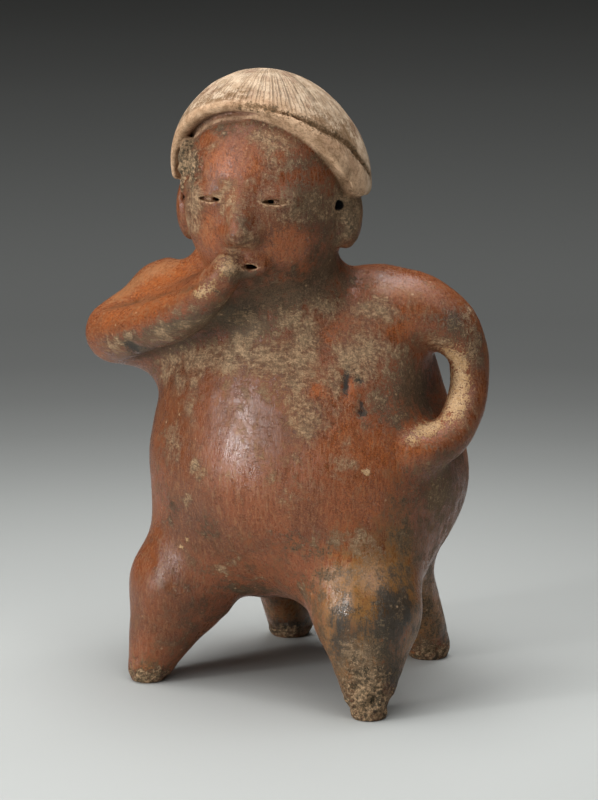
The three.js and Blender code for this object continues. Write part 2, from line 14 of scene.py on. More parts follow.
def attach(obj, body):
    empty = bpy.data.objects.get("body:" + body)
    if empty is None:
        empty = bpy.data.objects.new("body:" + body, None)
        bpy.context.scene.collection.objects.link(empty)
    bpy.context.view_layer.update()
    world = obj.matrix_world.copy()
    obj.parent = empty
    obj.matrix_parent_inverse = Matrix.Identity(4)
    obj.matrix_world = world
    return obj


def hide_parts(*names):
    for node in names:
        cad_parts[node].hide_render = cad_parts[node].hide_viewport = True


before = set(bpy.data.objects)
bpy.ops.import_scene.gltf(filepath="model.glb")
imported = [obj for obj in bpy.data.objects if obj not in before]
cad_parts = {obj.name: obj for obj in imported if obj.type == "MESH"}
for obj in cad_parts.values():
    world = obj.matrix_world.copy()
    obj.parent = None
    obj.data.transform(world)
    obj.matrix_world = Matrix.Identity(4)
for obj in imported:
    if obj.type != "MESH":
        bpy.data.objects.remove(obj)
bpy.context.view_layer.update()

NODE = "seated_figure"
MILLIMETRE = 0.001

# Where the figure's midplane stands in the shared frame.
MIDPLANE_X = 9.2
MIDPLANE_Y = 4.0

# Body, in millimetres: ellipsoids as (centre, radii), balls as (x, y, z, radius).
BELLY = ((0, -4, 109), (78, 60, 66))
CHEST = ((0, 1, 161), (62, 46, 43))
RUMP = ((0, 26, 98), (67, 46, 52))
TORSO_MELT = 30
NECK = ((0, -20, 200), (30, 28, 26))
NECK_MELT = 20
FRONT_LEGS = (
    ((-36, -14, 72, 28), (-50, -34, 47, 24), (-61.4, -47.2, 6, 9.8)),
    ((36, -14, 72, 28), (54, -36, 48, 24), (61.4, -47.2, 6, 9.8)),
)
KNEE_MELT = 6
THIGH_MELT = 26
REAR_LEGS = (
    ((-30.8, 29.7, 60, 18.4), (-39.9, 55.7, 6, 11.1)),
    ((30.8, 29.7, 60, 18.4), (39.9, 55.7, 6, 11.1)),
)
REAR_MELT = 18
RIGHT_SHOULDER = (-47, 2, 185, 27)
RIGHT_DELTOID = (-75, -3, 179.5, 20.5)
RIGHT_ARMPIT = (-54, 4, 160, 24.5)
RIGHT_ELBOW = (-95, -18, 166, 13.5)
ELBOW_UNDERSIDE = (-95, -18, 166, 12.5)
SHOULDER_MELT = 4
ARMPIT_MELT = 10
UPPER_ARM_MELT = 18
RIGHT_FOREARM = (
    (-95, -22, 165, 14), (-62, -44, 175, 12), (-30, -60, 187.5, 10.7), (-9, -69, 203, 8.8),
    (1, -72.5, 213, 7),
)
FOREARM_MELT = 3
FOREARM_WEB = ((-86, -14, 171, 10), (-52, -30, 180, 14), (-16, -46, 197, 13))
FOREARM_WEB_MELT = 10
LEFT_ARM = (
    (40, 3, 182, 25), (57.2, 6, 185.9, 18), (72.8, 10, 179.5, 13.5), (79.9, 14, 167.5, 10),
    (81.1, 15, 156.3, 9.3), (82.2, 11, 145.5, 9.3), (82.6, 2, 135.6, 9.3), (80.4, -7, 128.4, 9.5),
    (76, -15, 124.7, 9.2), (72, -20, 124, 7.5),
)
LEFT_ARM_MELT = 8
LOOP_HOLLOW = ((82, 0, 150), (17.5, 30, 21))
LOOP_HOLLOW_MELT = 8
# Corners pressed in: where the right thigh meets the belly, and where the shoulders meet the neck.
CORNER_HOLLOWS = (
    ((-8.2, -41.5, 38.8, 6.8), (-31.3, -0.7, 28.8, 6.8)),
    ((-61.7, -12.7, 210.2, 5.4), (-74.2, 9.5, 204.7, 5.4)),
    ((33.5, -14.5, 215.3, 4.5), (19.1, 11.1, 209.0, 4.5)),
)
CORNER_MELT = 5
LIMB_STEPS = 4

# How far round a limb, a small form or a fine cut its distance is worked out, and what stands for a cut
# that is far off. The head is melted on over one height, and its own marks lie over another.
LIMB_REACH = 20
UPPER_ARM_REACH = 24
SMALL_REACH = 8
CUT_REACH = 5
FAR = 9
HEAD_FROM = 180
HEAD_MARKS_FROM = 200

# Head, turned a little to the figure's left about its upright axis.
HEAD_AXIS = (0, -34)
HEAD_TURN = math.radians(11)
CRANIUM = ((0, -34, 251), (39.5, 40, 44))
JAW = ((0, -37, 229), (33, 33, 35))
JAW_MELT = 16
HEAD_MELT = 8
EAR = ((38.5, -34, 235), (6.5, 11.5, 16))
EAR_MELT = 4
EAR_HOLE = ((39, -45.5, 240.5, 2.4), (26, -40, 240, 1.6))
EAR_CREASE = ((39.5, -44, 251, 1.0), (39, -46.5, 240, 1.2), (38, -46, 226, 0.9))
EAR_CRACK = ((41, -44, 240.5, 0.7), (45.5, -37, 240, 0.7), (46, -33, 243, 0.6))
EAR_CREASE_MELT = 2.2

# Face, on plain proportions.
EYE_LINE = 244.5
EYE_OFFSET = 15.8
EYE_MOUND = ((EYE_OFFSET, -66.5, EYE_LINE), (9, 5.5, 5.5))
NOSE_TOP = (0, -70, 253, 3.2)
NOSE_TIP = (0, -77, 230, 5.4)
NOSE_WING = ((4.6, -73.5, 228.5, 4), (4.6, -71.5, 228.5, 4))
NOSE_WING_MELT = 3
NOSE_MELT = 6
NOSTRIL = (2.9, -76.5, 224.4, 1.3)
LIPS = ((0, -69, 214), (11.5, 4.5, 5.5))
FEATURE_MELT = 5

# Slits of the eyes and mouth: (x, height, width, opening), and the hole behind: (x, stretch, squash).
SLITS = (
    ((-EYE_OFFSET, EYE_LINE, 13, 2.6), (-EYE_OFFSET + 2.6, 1, 1.3)),
    ((EYE_OFFSET, EYE_LINE, 13, 2.6), (EYE_OFFSET - 2.6, 1, 1.3)),
    ((0, 214, 17, 2.8), (3.4, 2.2, 1.1)),
)
FACE_FRONT = -50
SLIT_DEPTH = 3.2
SLIT_RIM = 1.7
HOLE_RADIUS = 1.5
HOLE_DEPTH = 10
SLIT_MELT = 0.7
SMALL_MELT = 0.8
EAR_HOLE_MELT = 1.2

# Cap: a thick bowl of clay with an arched opening over the forehead.
CAP_Y = -34
CAP = ((1, CAP_Y, 251.5), (45.5, 45, 49.5))
CAP_LEAN = -0.09
CAP_BASE = 245
CAP_BASE_TILT = -0.05
CAP_ARCH = 42
CAP_ARCH_SCALE = 42
CAP_EDGE_SLANT = 0.8
CAP_ROLL = 1.5
CAP_ROLL_WIDTH = 6
CAP_EDGE_MELT = 2.4
CAP_BASE_MELT = 4
CAP_SEAT_MELT = 1.2
LIP_GROOVE = (
    (-4, -66.2, 287.2, 0.1), (6, -65.5, 286.6, 0.4), (14, -63.8, 284.6, 0.6), (28, -57.8, 279, 0.85),
    (34.6, -52.8, 274.4, 1.0), (40.8, -44.2, 269, 1.1), (45.0, -36.6, 260, 1.1), (46.3, -27, 253.2, 0.9),
    (46.6, -19, 249, 0.5),
)
LIP_GROOVE_MELT = 1.6
RECESS_MIDDLE = -5.2
RECESS_HALF_WIDTH = 1.9
RECESS_TOP = -2.6
RECESS_BOTTOM = -6.6
RECESS_LESS = 5.2
RECESS_MELT = 2.4
CLAY_PATCH = ((-33, -53, 267, 3), (-33.5, -53, 259, 4.6), (-33, -53, 251, 4), (-32.5, -51, 245, 3.2))
CLAY_PATCH_MELT = 2
CROWN = (-2, -26)
CAP_LINES = 118
DEEP_LINES = 44
LINE_WAVES = ((3, 0.32, 0.7), (8, 0.25, 2.1), (19, 0.18, 4.0))
LINE_DEPTH = 0.3

# Relief, in millimetres: heights, and the spacing of the noise behind each.
LUMP = 0.55
LUMP_SPACING = 27
SMALL_LUMP_SPACING = 12
FACET = 0.14
FACET_SPACING = (5, 5, 11)
CRUST_HEIGHT = 0.28
CRUST_SPACING = 3.1
CRUMBLE_HEIGHT = 1.5
CRUMBLE_SPACING = 5.2
CRUMB_SPACING = 2.9
GRIT_HEIGHT = 0.3
GRIT_SPACING = 2.2
GAP_SPACING = 9
MARK_HEIGHT = 2.2
MARK_DEPTH_EXTRA = 8
MARK_FIND = 4
MARK_FALL = 0.7
CREASE_SHARE = 0.4

# Mesh: the grid's step at each height, and where its middle stands in x and y there.
GRID_HEIGHTS = (-4, 22, 48, 120, 150, 183, 205, 215, 306)
GRID_STEPS = (1.4, 1.4, 2.05, 2.1, 2.0, 2.0, 1.02, 1.02, 1.0)
GRID_MIDDLE_X = (4, 4, 2, 0, 0, 4, 8, 9, 9)
GRID_MIDDLE_Y = (6, 6, 2, 0, -9, -20, -27, -30, -30)
GRID_ACROSS = 149
GRID_ALONG = 125
BLOCK = 4
NEAR_SURFACE = 9.0

# The photograph's frame and camera. Pixels of the 598 x 800 frame place the marks on the clay.
FRAME_HEIGHT = 800
FOCAL_PIXELS = 3093.4
PRINCIPAL_POINT = (299, 400)
CAMERA_AZIMUTH = math.radians(29.456)
CAMERA_ELEVATION = math.radians(12.083)
CAMERA_DISTANCE = 1500.0
CAMERA_TARGET = (6.15, 4.0, 137.1)
SENSOR_HEIGHT = 36.0
CLIP_NEAR = 0.05
CLIP_FAR = 60
PIXEL = CAMERA_DISTANCE / FOCAL_PIXELS

# Floor, in metres: the middle of a painted pool of light, and the floor's tone at each distance from there,
# which paints the pool of light and its falloff.
FLOOR_SIZE = 12
LIGHT_POOL_MIDDLE = (0.17, -0.30)
PAINTED_LIGHT_TONES = (
    (0.0, 0.495), (0.25, 0.495), (0.4, 0.505), (0.5, 0.45), (0.6, 0.4), (0.7, 0.339), (0.8, 0.267),
    (0.89, 0.216), (1.0, 0.176), (1.12, 0.157), (1.29, 0.168), (1.54, 0.212), (1.89, 0.27), (2.35, 0.35),
    (2.88, 0.44), (3.62, 0.5), (4.3, 0.5),
)
FLOOR_TINT = (0.985, 1.015, 0.985)
FLOOR_ROUGHNESS = 0.8
FLOOR_SHINE = 0.2

# Area lights, in metres and watts: name, place, power, width and height.
LIGHTS = (
    ("top", (0.0, 0.1, 1.4), 15, 0.9, 0.9),
    ("top left", (-0.5, -0.6, 1.35), 7.5, 0.9, 0.9),
    ("top right", (0.7, -0.4, 1.25), 5, 0.9, 0.9),
    ("front left", (-0.62, -1.65, 0.78), 14, 1.2, 1.1),
    ("strip", (-0.70, -1.12, 0.28), 6.5, 0.08, 0.5),
)
LIGHT_AIM = (0, 0, 0.15)
WORLD_COLOUR = (1.0, 0.98, 0.95, 1)
WORLD_STRENGTH = 0.03


# Distance functions over arrays of points: negative inside, positive outside.

def ellipsoid(p, shape):
    centre, radii = shape
    scaled = [(p[i] - centre[i]) / radii[i] for i in range(3)]
    near = np.sqrt(scaled[0] ** 2 + scaled[1] ** 2 + scaled[2] ** 2)
    slope = np.sqrt(sum((scaled[i] / radii[i]) ** 2 for i in range(3)))
    return near * (near - 1) / np.maximum(slope, 1e-9)


def ball(p, shape):
    return np.sqrt(sum((p[i] - shape[i]) ** 2 for i in range(3))) - shape[3]


def taper(p, start, end):
    """A limb that tapers from one ball to another."""
    axis = [end[i] - start[i] for i in range(3)]
    length2 = sum(v * v for v in axis)
    shrink = start[3] - end[3]
    side2 = max(length2 - shrink * shrink, 1e-6)
    q = [p[i] - start[i] for i in range(3)]
    along = q[0] * axis[0] + q[1] * axis[1] + q[2] * axis[2]
    beyond = along - length2
    across2 = np.maximum((q[0] ** 2 + q[1] ** 2 + q[2] ** 2) * length2 - along ** 2, 0) * length2
    lean = np.sign(shrink) * shrink * shrink * across2
    side = (np.sqrt(across2 * side2 / length2) + along * shrink) / length2 - start[3]
    far_end = np.sqrt(across2 + beyond ** 2 * length2) / length2 - end[3]
    near_end = np.sqrt(across2 + along ** 2 * length2) / length2 - start[3]
    past_far = np.sign(beyond) * side2 * beyond ** 2 * length2 > lean
    past_near = np.sign(along) * side2 * along ** 2 * length2 < lean
    return np.where(past_far, far_end, np.where(past_near, near_end, side))


def melt(a, b, width):
    """The union of two forms, filled out over a width where they meet."""
    near = np.maximum(width - np.abs(a - b), 0) / width
    return np.minimum(a, b) - near * near * width * 0.25


def cut_by(a, b, width):
    """The first form without the second, with its edge rounded over a width."""
    return -melt(-a, b, width)


def smooth(value, low, high):
    t = np.clip((value - low) / (high - low), 0, 1)
    return t * t * (3 - 2 * t)


def curve_through(balls):
    """Balls along a Catmull-Rom curve through the given ones."""
    knots = np.array(balls, float)
    knots = np.vstack([2 * knots[0] - knots[1], knots, 2 * knots[-1] - knots[-2]])
    found = []
    for a, b, c, d in zip(knots, knots[1:], knots[2:], knots[3:]):
        for i in range(LIMB_STEPS):
            t = i / LIMB_STEPS
            found.append(0.5 * (2 * b + (c - a) * t + (2 * a - 5 * b + 4 * c - d) * t ** 2
                                + (3 * b - a - 3 * c + d) * t ** 3))
    return found + [knots[-2]]


def limb(p, balls):
    """A limb of tapers along a curve through balls."""
    chain = curve_through(balls)
    nearest = taper(p, chain[0], chain[1])
    for start, end in zip(chain[1:], chain[2:]):
        nearest = np.minimum(nearest, taper(p, start, end))
    return nearest


def cone(p, ends):
    return taper(p, *ends)


def near(p, balls, reach, field):
    """field(p, balls) where p is near the balls, and a distance beyond any melt elsewhere."""
    inside = np.ones(len(p[0]), bool)
    for i in range(3):
        inside &= p[i] > min(b[i] - b[3] for b in balls) - reach
        inside &= p[i] < max(b[i] + b[3] for b in balls) + reach
    found = np.full(len(p[0]), float(reach))
    if inside.any():
        found[inside] = field([axis[inside] for axis in p], balls)
    return found


def torso_field(p):
    trunk = melt(ellipsoid(p, BELLY), ellipsoid(p, CHEST), TORSO_MELT)
    trunk = melt(trunk, ellipsoid(p, RUMP), TORSO_MELT)
    return cut_by(trunk, ellipsoid(p, LOOP_HOLLOW), LOOP_HOLLOW_MELT)


def front_leg_field(p, leg):
    thigh, knee, foot = leg
    return melt(taper(p, knee, foot), taper(p, thigh, knee), KNEE_MELT)


def upper_arm_field(p, balls):
    shoulder, deltoid, armpit, elbow = balls
    outer = melt(taper(p, shoulder, deltoid), taper(p, deltoid, elbow), SHOULDER_MELT)
    return melt(outer, taper(p, armpit, ELBOW_UNDERSIDE), ARMPIT_MELT)


def face_field(q):
    side = [np.abs(q[0]), q[1], q[2]]
    skull = melt(ellipsoid(q, CRANIUM), ellipsoid(q, JAW), JAW_MELT)
    nose = melt(taper(q, NOSE_TOP, NOSE_TIP), taper(side, *NOSE_WING), NOSE_WING_MELT)
    face = melt(skull, ellipsoid(side, EYE_MOUND), FEATURE_MELT)
    face = melt(face, ellipsoid(q, LIPS), FEATURE_MELT)
    face = melt(face, nose, NOSE_MELT)
    return melt(face, ellipsoid(side, EAR), EAR_MELT), skull


def cap_parts(q):
    """The cap's outer skin, how far a point is above its arched opening, and the height over its base."""
    centre, radii = CAP
    leaning = q[0] - CAP_LEAN * (q[2] - centre[2])
    across = leaning - centre[0]
    above = q[2] - CAP_BASE - CAP_BASE_TILT * across
    arch = np.hypot(across / (radii[0] - 0.5), np.maximum(above, 0) / CAP_ARCH)
    from_rim = (arch - 1) * CAP_ARCH_SCALE
    dome = ellipsoid([leaning, q[1], q[2]], CAP)
    return dome, from_rim, above


def lip_side(q):
    """1 on the figure's left half of the cap, where a groove sets the lip off, and 0 on its right."""
    return smooth(q[0], -6, 10) * smooth(-q[1], 22, 32)


def cap_field(q):
    dome, from_rim, above = cap_parts(q)
    front = q[1] < CAP_Y + 20
    roll = np.where(front, CAP_ROLL * np.exp(-((from_rim / CAP_ROLL_WIDTH) ** 2)), 0)
    skin = dome - roll
    opening = np.maximum(from_rim - CAP_EDGE_SLANT * np.minimum(skin, 2), q[1] - CAP_Y - 2)
    cap = cut_by(cut_by(skin, opening, CAP_EDGE_MELT), above, CAP_BASE_MELT)
    return cut_by(cap, near(q, LIP_GROOVE, CUT_REACH, limb), LIP_GROOVE_MELT)


def recess_field(q):
    """The hollow behind the cap's rim, shallower on the figure's left half."""
    dome, from_rim, above = cap_parts(q)
    across = np.abs(from_rim - RECESS_MIDDLE) - RECESS_HALF_WIDTH
    bottom = RECESS_BOTTOM + RECESS_LESS * lip_side(q)
    hollow = np.maximum(np.maximum(across, dome - RECESS_TOP), bottom - dome)
    return np.where((q[1] < CAP_Y - 2) & (above > -6), hollow, FAR)


def from_midplane(x, y, z):
    return [x - MIDPLANE_X, y - MIDPLANE_Y, z]


def turned_with_head(p):
    dx = p[0] - HEAD_AXIS[0]
    dy = p[1] - HEAD_AXIS[1]
    c, s = math.cos(HEAD_TURN), math.sin(HEAD_TURN)
    return [HEAD_AXIS[0] + dx * c + dy * s, HEAD_AXIS[1] - dx * s + dy * c, p[2]]


def openings_cut(q, form, skull):
    """Cuts the slits of the eyes and mouth, the holes behind them, the nostrils and the ear holes."""
    for (x, z, width, opening), (hole_x, stretch, squash) in SLITS:
        half = opening / 2 * (1 - ((q[0] - x) / (width / 2)) ** 2)
        slit = np.maximum(np.abs(q[2] - z) - half, -(form + SLIT_DEPTH))
        hole = np.hypot((q[0] - hole_x) / stretch, (q[2] - z) * squash) - HOLE_RADIUS
        hole = np.maximum(hole, -(skull + HOLE_DEPTH))
        form = cut_by(form, np.where(q[1] < FACE_FRONT, np.minimum(slit, hole), FAR), SLIT_MELT)
    side = [np.abs(q[0]), q[1], q[2]]
    form = cut_by(form, ball(side, NOSTRIL), SMALL_MELT)
    form = cut_by(form, near(side, EAR_CREASE, CUT_REACH, limb), EAR_CREASE_MELT)
    form = cut_by(form, near(q, EAR_CRACK, CUT_REACH, limb), SMALL_MELT)
    return cut_by(form, taper(side, *EAR_HOLE), EAR_HOLE_MELT)


def figure_field(x, y, z):
    """Distance to the finished clay, in millimetres, at points in the shared frame."""
    p = from_midplane(x, y, z)
    form = torso_field(p)
    for leg, rear in zip(FRONT_LEGS, REAR_LEGS):
        form = melt(form, near(p, leg, THIGH_MELT + SMALL_REACH, front_leg_field), THIGH_MELT)
        form = melt(form, near(p, rear, REAR_MELT + SMALL_REACH, cone), REAR_MELT)
    form = melt(form, ellipsoid(p, NECK), NECK_MELT)
    upper = (RIGHT_SHOULDER, RIGHT_DELTOID, RIGHT_ARMPIT, RIGHT_ELBOW)
    form = melt(form, near(p, upper, UPPER_ARM_REACH, upper_arm_field), UPPER_ARM_MELT)
    form = melt(form, near(p, FOREARM_WEB, LIMB_REACH, limb), FOREARM_WEB_MELT)
    form = melt(form, near(p, LEFT_ARM, LIMB_REACH, limb), LEFT_ARM_MELT)
    head = np.flatnonzero(z > HEAD_FROM)
    if len(head):
        q = turned_with_head([axis[head] for axis in p])
        face, skull = face_field(q)
        form[head] = openings_cut(q, melt(form[head], face, HEAD_MELT), skull)
    form = melt(form, near(p, RIGHT_FOREARM, LIMB_REACH, limb), FOREARM_MELT)
    if len(head):
        own = melt(form[head], cap_field(q), CAP_SEAT_MELT)
        own = cut_by(own, recess_field(q), RECESS_MELT)
        form[head] = melt(own, near(q, CLAY_PATCH, SMALL_REACH, limb), CLAY_PATCH_MELT)
    for hollow in CORNER_HOLLOWS:
        form = cut_by(form, near(p, hollow, SMALL_REACH, cone), CORNER_MELT)
    return np.maximum(form, -z)


# Mesh: a net over the surface of the distance, settled onto it.

def grid_axes():
    """The grid's heights, a whole number of blocks."""
    heights = [GRID_HEIGHTS[0]]
    while heights[-1] < GRID_HEIGHTS[-1]:
        heights.append(heights[-1] + np.interp(heights[-1], GRID_HEIGHTS, GRID_STEPS))
    while (len(heights) - 1) % BLOCK:
        heights.append(heights[-1] + GRID_STEPS[-1])
    return np.array(heights)


def grid_point(i, j, k, heights):
    """Place of a grid node given by numbers that need not be whole."""
    z = np.interp(k, np.arange(len(heights)), heights)
    step = np.interp(z, GRID_HEIGHTS, GRID_STEPS)
    x = np.interp(z, GRID_HEIGHTS, GRID_MIDDLE_X) + (i - (GRID_ACROSS - 1) / 2) * step
    y = np.interp(z, GRID_HEIGHTS, GRID_MIDDLE_Y) + (j - (GRID_ALONG - 1) / 2) * step
    return x, y, z


def sampled(heights):
    """The field at every grid node: worked out near the surface, and only its sign elsewhere."""
    size = (GRID_ACROSS, GRID_ALONG, len(heights))
    coarse_axes = [np.arange(0, n, BLOCK) for n in size]
    ci, cj, ck = np.meshgrid(*coarse_axes, indexing="ij")
    coarse = figure_field(*grid_point(ci.ravel(), cj.ravel(), ck.ravel(), heights)).reshape(ci.shape)
    close = np.abs(coarse) < NEAR_SURFACE
    active = np.zeros([n - 1 for n in close.shape], bool)
    for corner in range(8):
        a, b, c = corner & 1, corner >> 1 & 1, corner >> 2 & 1
        active |= close[a:close.shape[0] - 1 + a, b:close.shape[1] - 1 + b, c:close.shape[2] - 1 + c]
    field = np.repeat(np.repeat(np.repeat(coarse, BLOCK, 0), BLOCK, 1), BLOCK, 2)
    field = np.sign(field[:size[0], :size[1], :size[2]]) * NEAR_SURFACE
    wanted = np.zeros(size, bool)
    for bi, bj, bk in np.argwhere(active) * BLOCK:
        wanted[bi:bi + BLOCK + 1, bj:bj + BLOCK + 1, bk:bk + BLOCK + 1] = True
    i, j, k = np.nonzero(wanted)
    field[i, j, k] = figure_field(*grid_point(i, j, k, heights))
    return field


def net(field, heights):
    """One vertex in each cell that the surface crosses, and one quad round each edge that it crosses."""
    size = field.shape
    cells = tuple(n - 1 for n in size)
    total = np.zeros((3, int(np.prod(cells))))
    count = np.zeros(int(np.prod(cells)))
    inside = field < 0
    quads = []
    for axis in range(3):
        u, v = (axis + 1) % 3, (axis + 2) % 3
        at = np.argwhere(np.diff(inside, axis=axis))
        ends = at.copy()
        ends[:, axis] += 1
        a, b = field[tuple(at.T)], field[tuple(ends.T)]
        point = at.astype(float)
        point[:, axis] += a / (a - b)
        ring = []
        for du, dv in ((1, 1), (0, 1), (0, 0), (1, 0)):
            cell = at.copy()
            cell[:, u] -= du
            cell[:, v] -= dv
            number = np.ravel_multi_index(tuple(cell.T), cells)
            for i in range(3):
                total[i] += np.bincount(number, point[:, i], len(count))
            count += np.bincount(number, minlength=len(count))
            ring.append(number)
        ring = np.stack(ring, 1)
        quads.append(np.where((a < 0)[:, None], ring, ring[:, ::-1]))
    used = np.flatnonzero(count)
    place = np.full(len(count), -1)
    place[used] = np.arange(len(used))
    mean = total[:, used] / count[used]
    return np.stack(grid_point(*mean, heights), 1), place[np.vstack(quads)]


def slope_at(points, gap=0.25):
    """The field and its gradient at points, from four samples each."""
    signs = np.array([(1, -1, -1), (-1, -1, 1), (-1, 1, -1), (1, 1, 1)], float)
    values = [figure_field(*(points + gap * s).T) for s in signs]
    slope = sum(v[:, None] * s for v, s in zip(values, signs)) / (4 * gap)
    return sum(values) / 4, slope


def settled(points):
    """Moves the points onto the surface."""
    for _ in range(2):
        value, slope = slope_at(points)
        size2 = np.maximum((slope ** 2).sum(1), 0.2)
        move = -value[:, None] * slope / size2[:, None]
        length = np.linalg.norm(move, axis=1)
        points = points + move * (np.minimum(length, 0.6) / np.maximum(length, 1e-9))[:, None]
    return points


def evened(points, quads):
    """The points, each moved halfway to the mean of its neighbours."""
    a = quads.ravel()
    b = np.roll(quads, -1, 1).ravel()
    count = np.bincount(a, minlength=len(points)) + np.bincount(b, minlength=len(points))
    total = np.zeros_like(points)
    for i in range(3):
        total[:, i] = np.bincount(a, points[b, i], len(points))
        total[:, i] += np.bincount(b, points[a, i], len(points))
    return points + 0.5 * (total / count[:, None] - points)


def normals_of(points, quads):
    diagonal_a = points[quads[:, 2]] - points[quads[:, 0]]
    diagonal_b = points[quads[:, 3]] - points[quads[:, 1]]
    face = np.cross(diagonal_a, diagonal_b)
    found = np.zeros_like(points)
    for corner in range(4):
        for i in range(3):
            found[:, i] += np.bincount(quads[:, corner], face[:, i], len(points))
    return found / np.maximum(np.linalg.norm(found, axis=1), 1e-12)[:, None]


class Noise:
    """Smooth value noise from a fixed seed, about -1 to 1."""

    def __init__(self, seed, size=32):
        self.size = size
        self.grid = np.random.default_rng(seed).uniform(-1, 1, (size, size, size))

    def __call__(self, points, spacing):
        q = points / np.asarray(spacing, float)
        base = np.floor(q).astype(int)
        t = q - base
        t = t * t * (3 - 2 * t)
        total = 0
        for corner in range(8):
            step = np.array([corner & 1, corner >> 1 & 1, corner >> 2 & 1])
            weight = np.prod(np.where(step, t, 1 - t), axis=1)
            i, j, k = ((base + step) % self.size).T
            total = total + weight * self.grid[i, j, k]
        return total


def photo_camera():
    """The camera's place and its right, up and back directions, in the shared frame in millimetres."""
    a, e = CAMERA_AZIMUTH, CAMERA_ELEVATION
    back = np.array([math.sin(a) * math.cos(e), -math.cos(a) * math.cos(e), math.sin(e)])
    right = np.array([math.cos(a), math.sin(a), 0])
    up = np.cross(back, right)
    place = np.array(CAMERA_TARGET) + back * CAMERA_DISTANCE
    return place, right, up, back


def seen_at(points):
    """Pixels of the photograph's frame, and the depth, of points."""
    place, right, up, back = photo_camera()
    q = points - place
    depth = -(q @ back)
    px = PRINCIPAL_POINT[0] + FOCAL_PIXELS * (q @ right) / depth
    py = PRINCIPAL_POINT[1] - FOCAL_PIXELS * (q @ up) / depth
    return px, py, depth


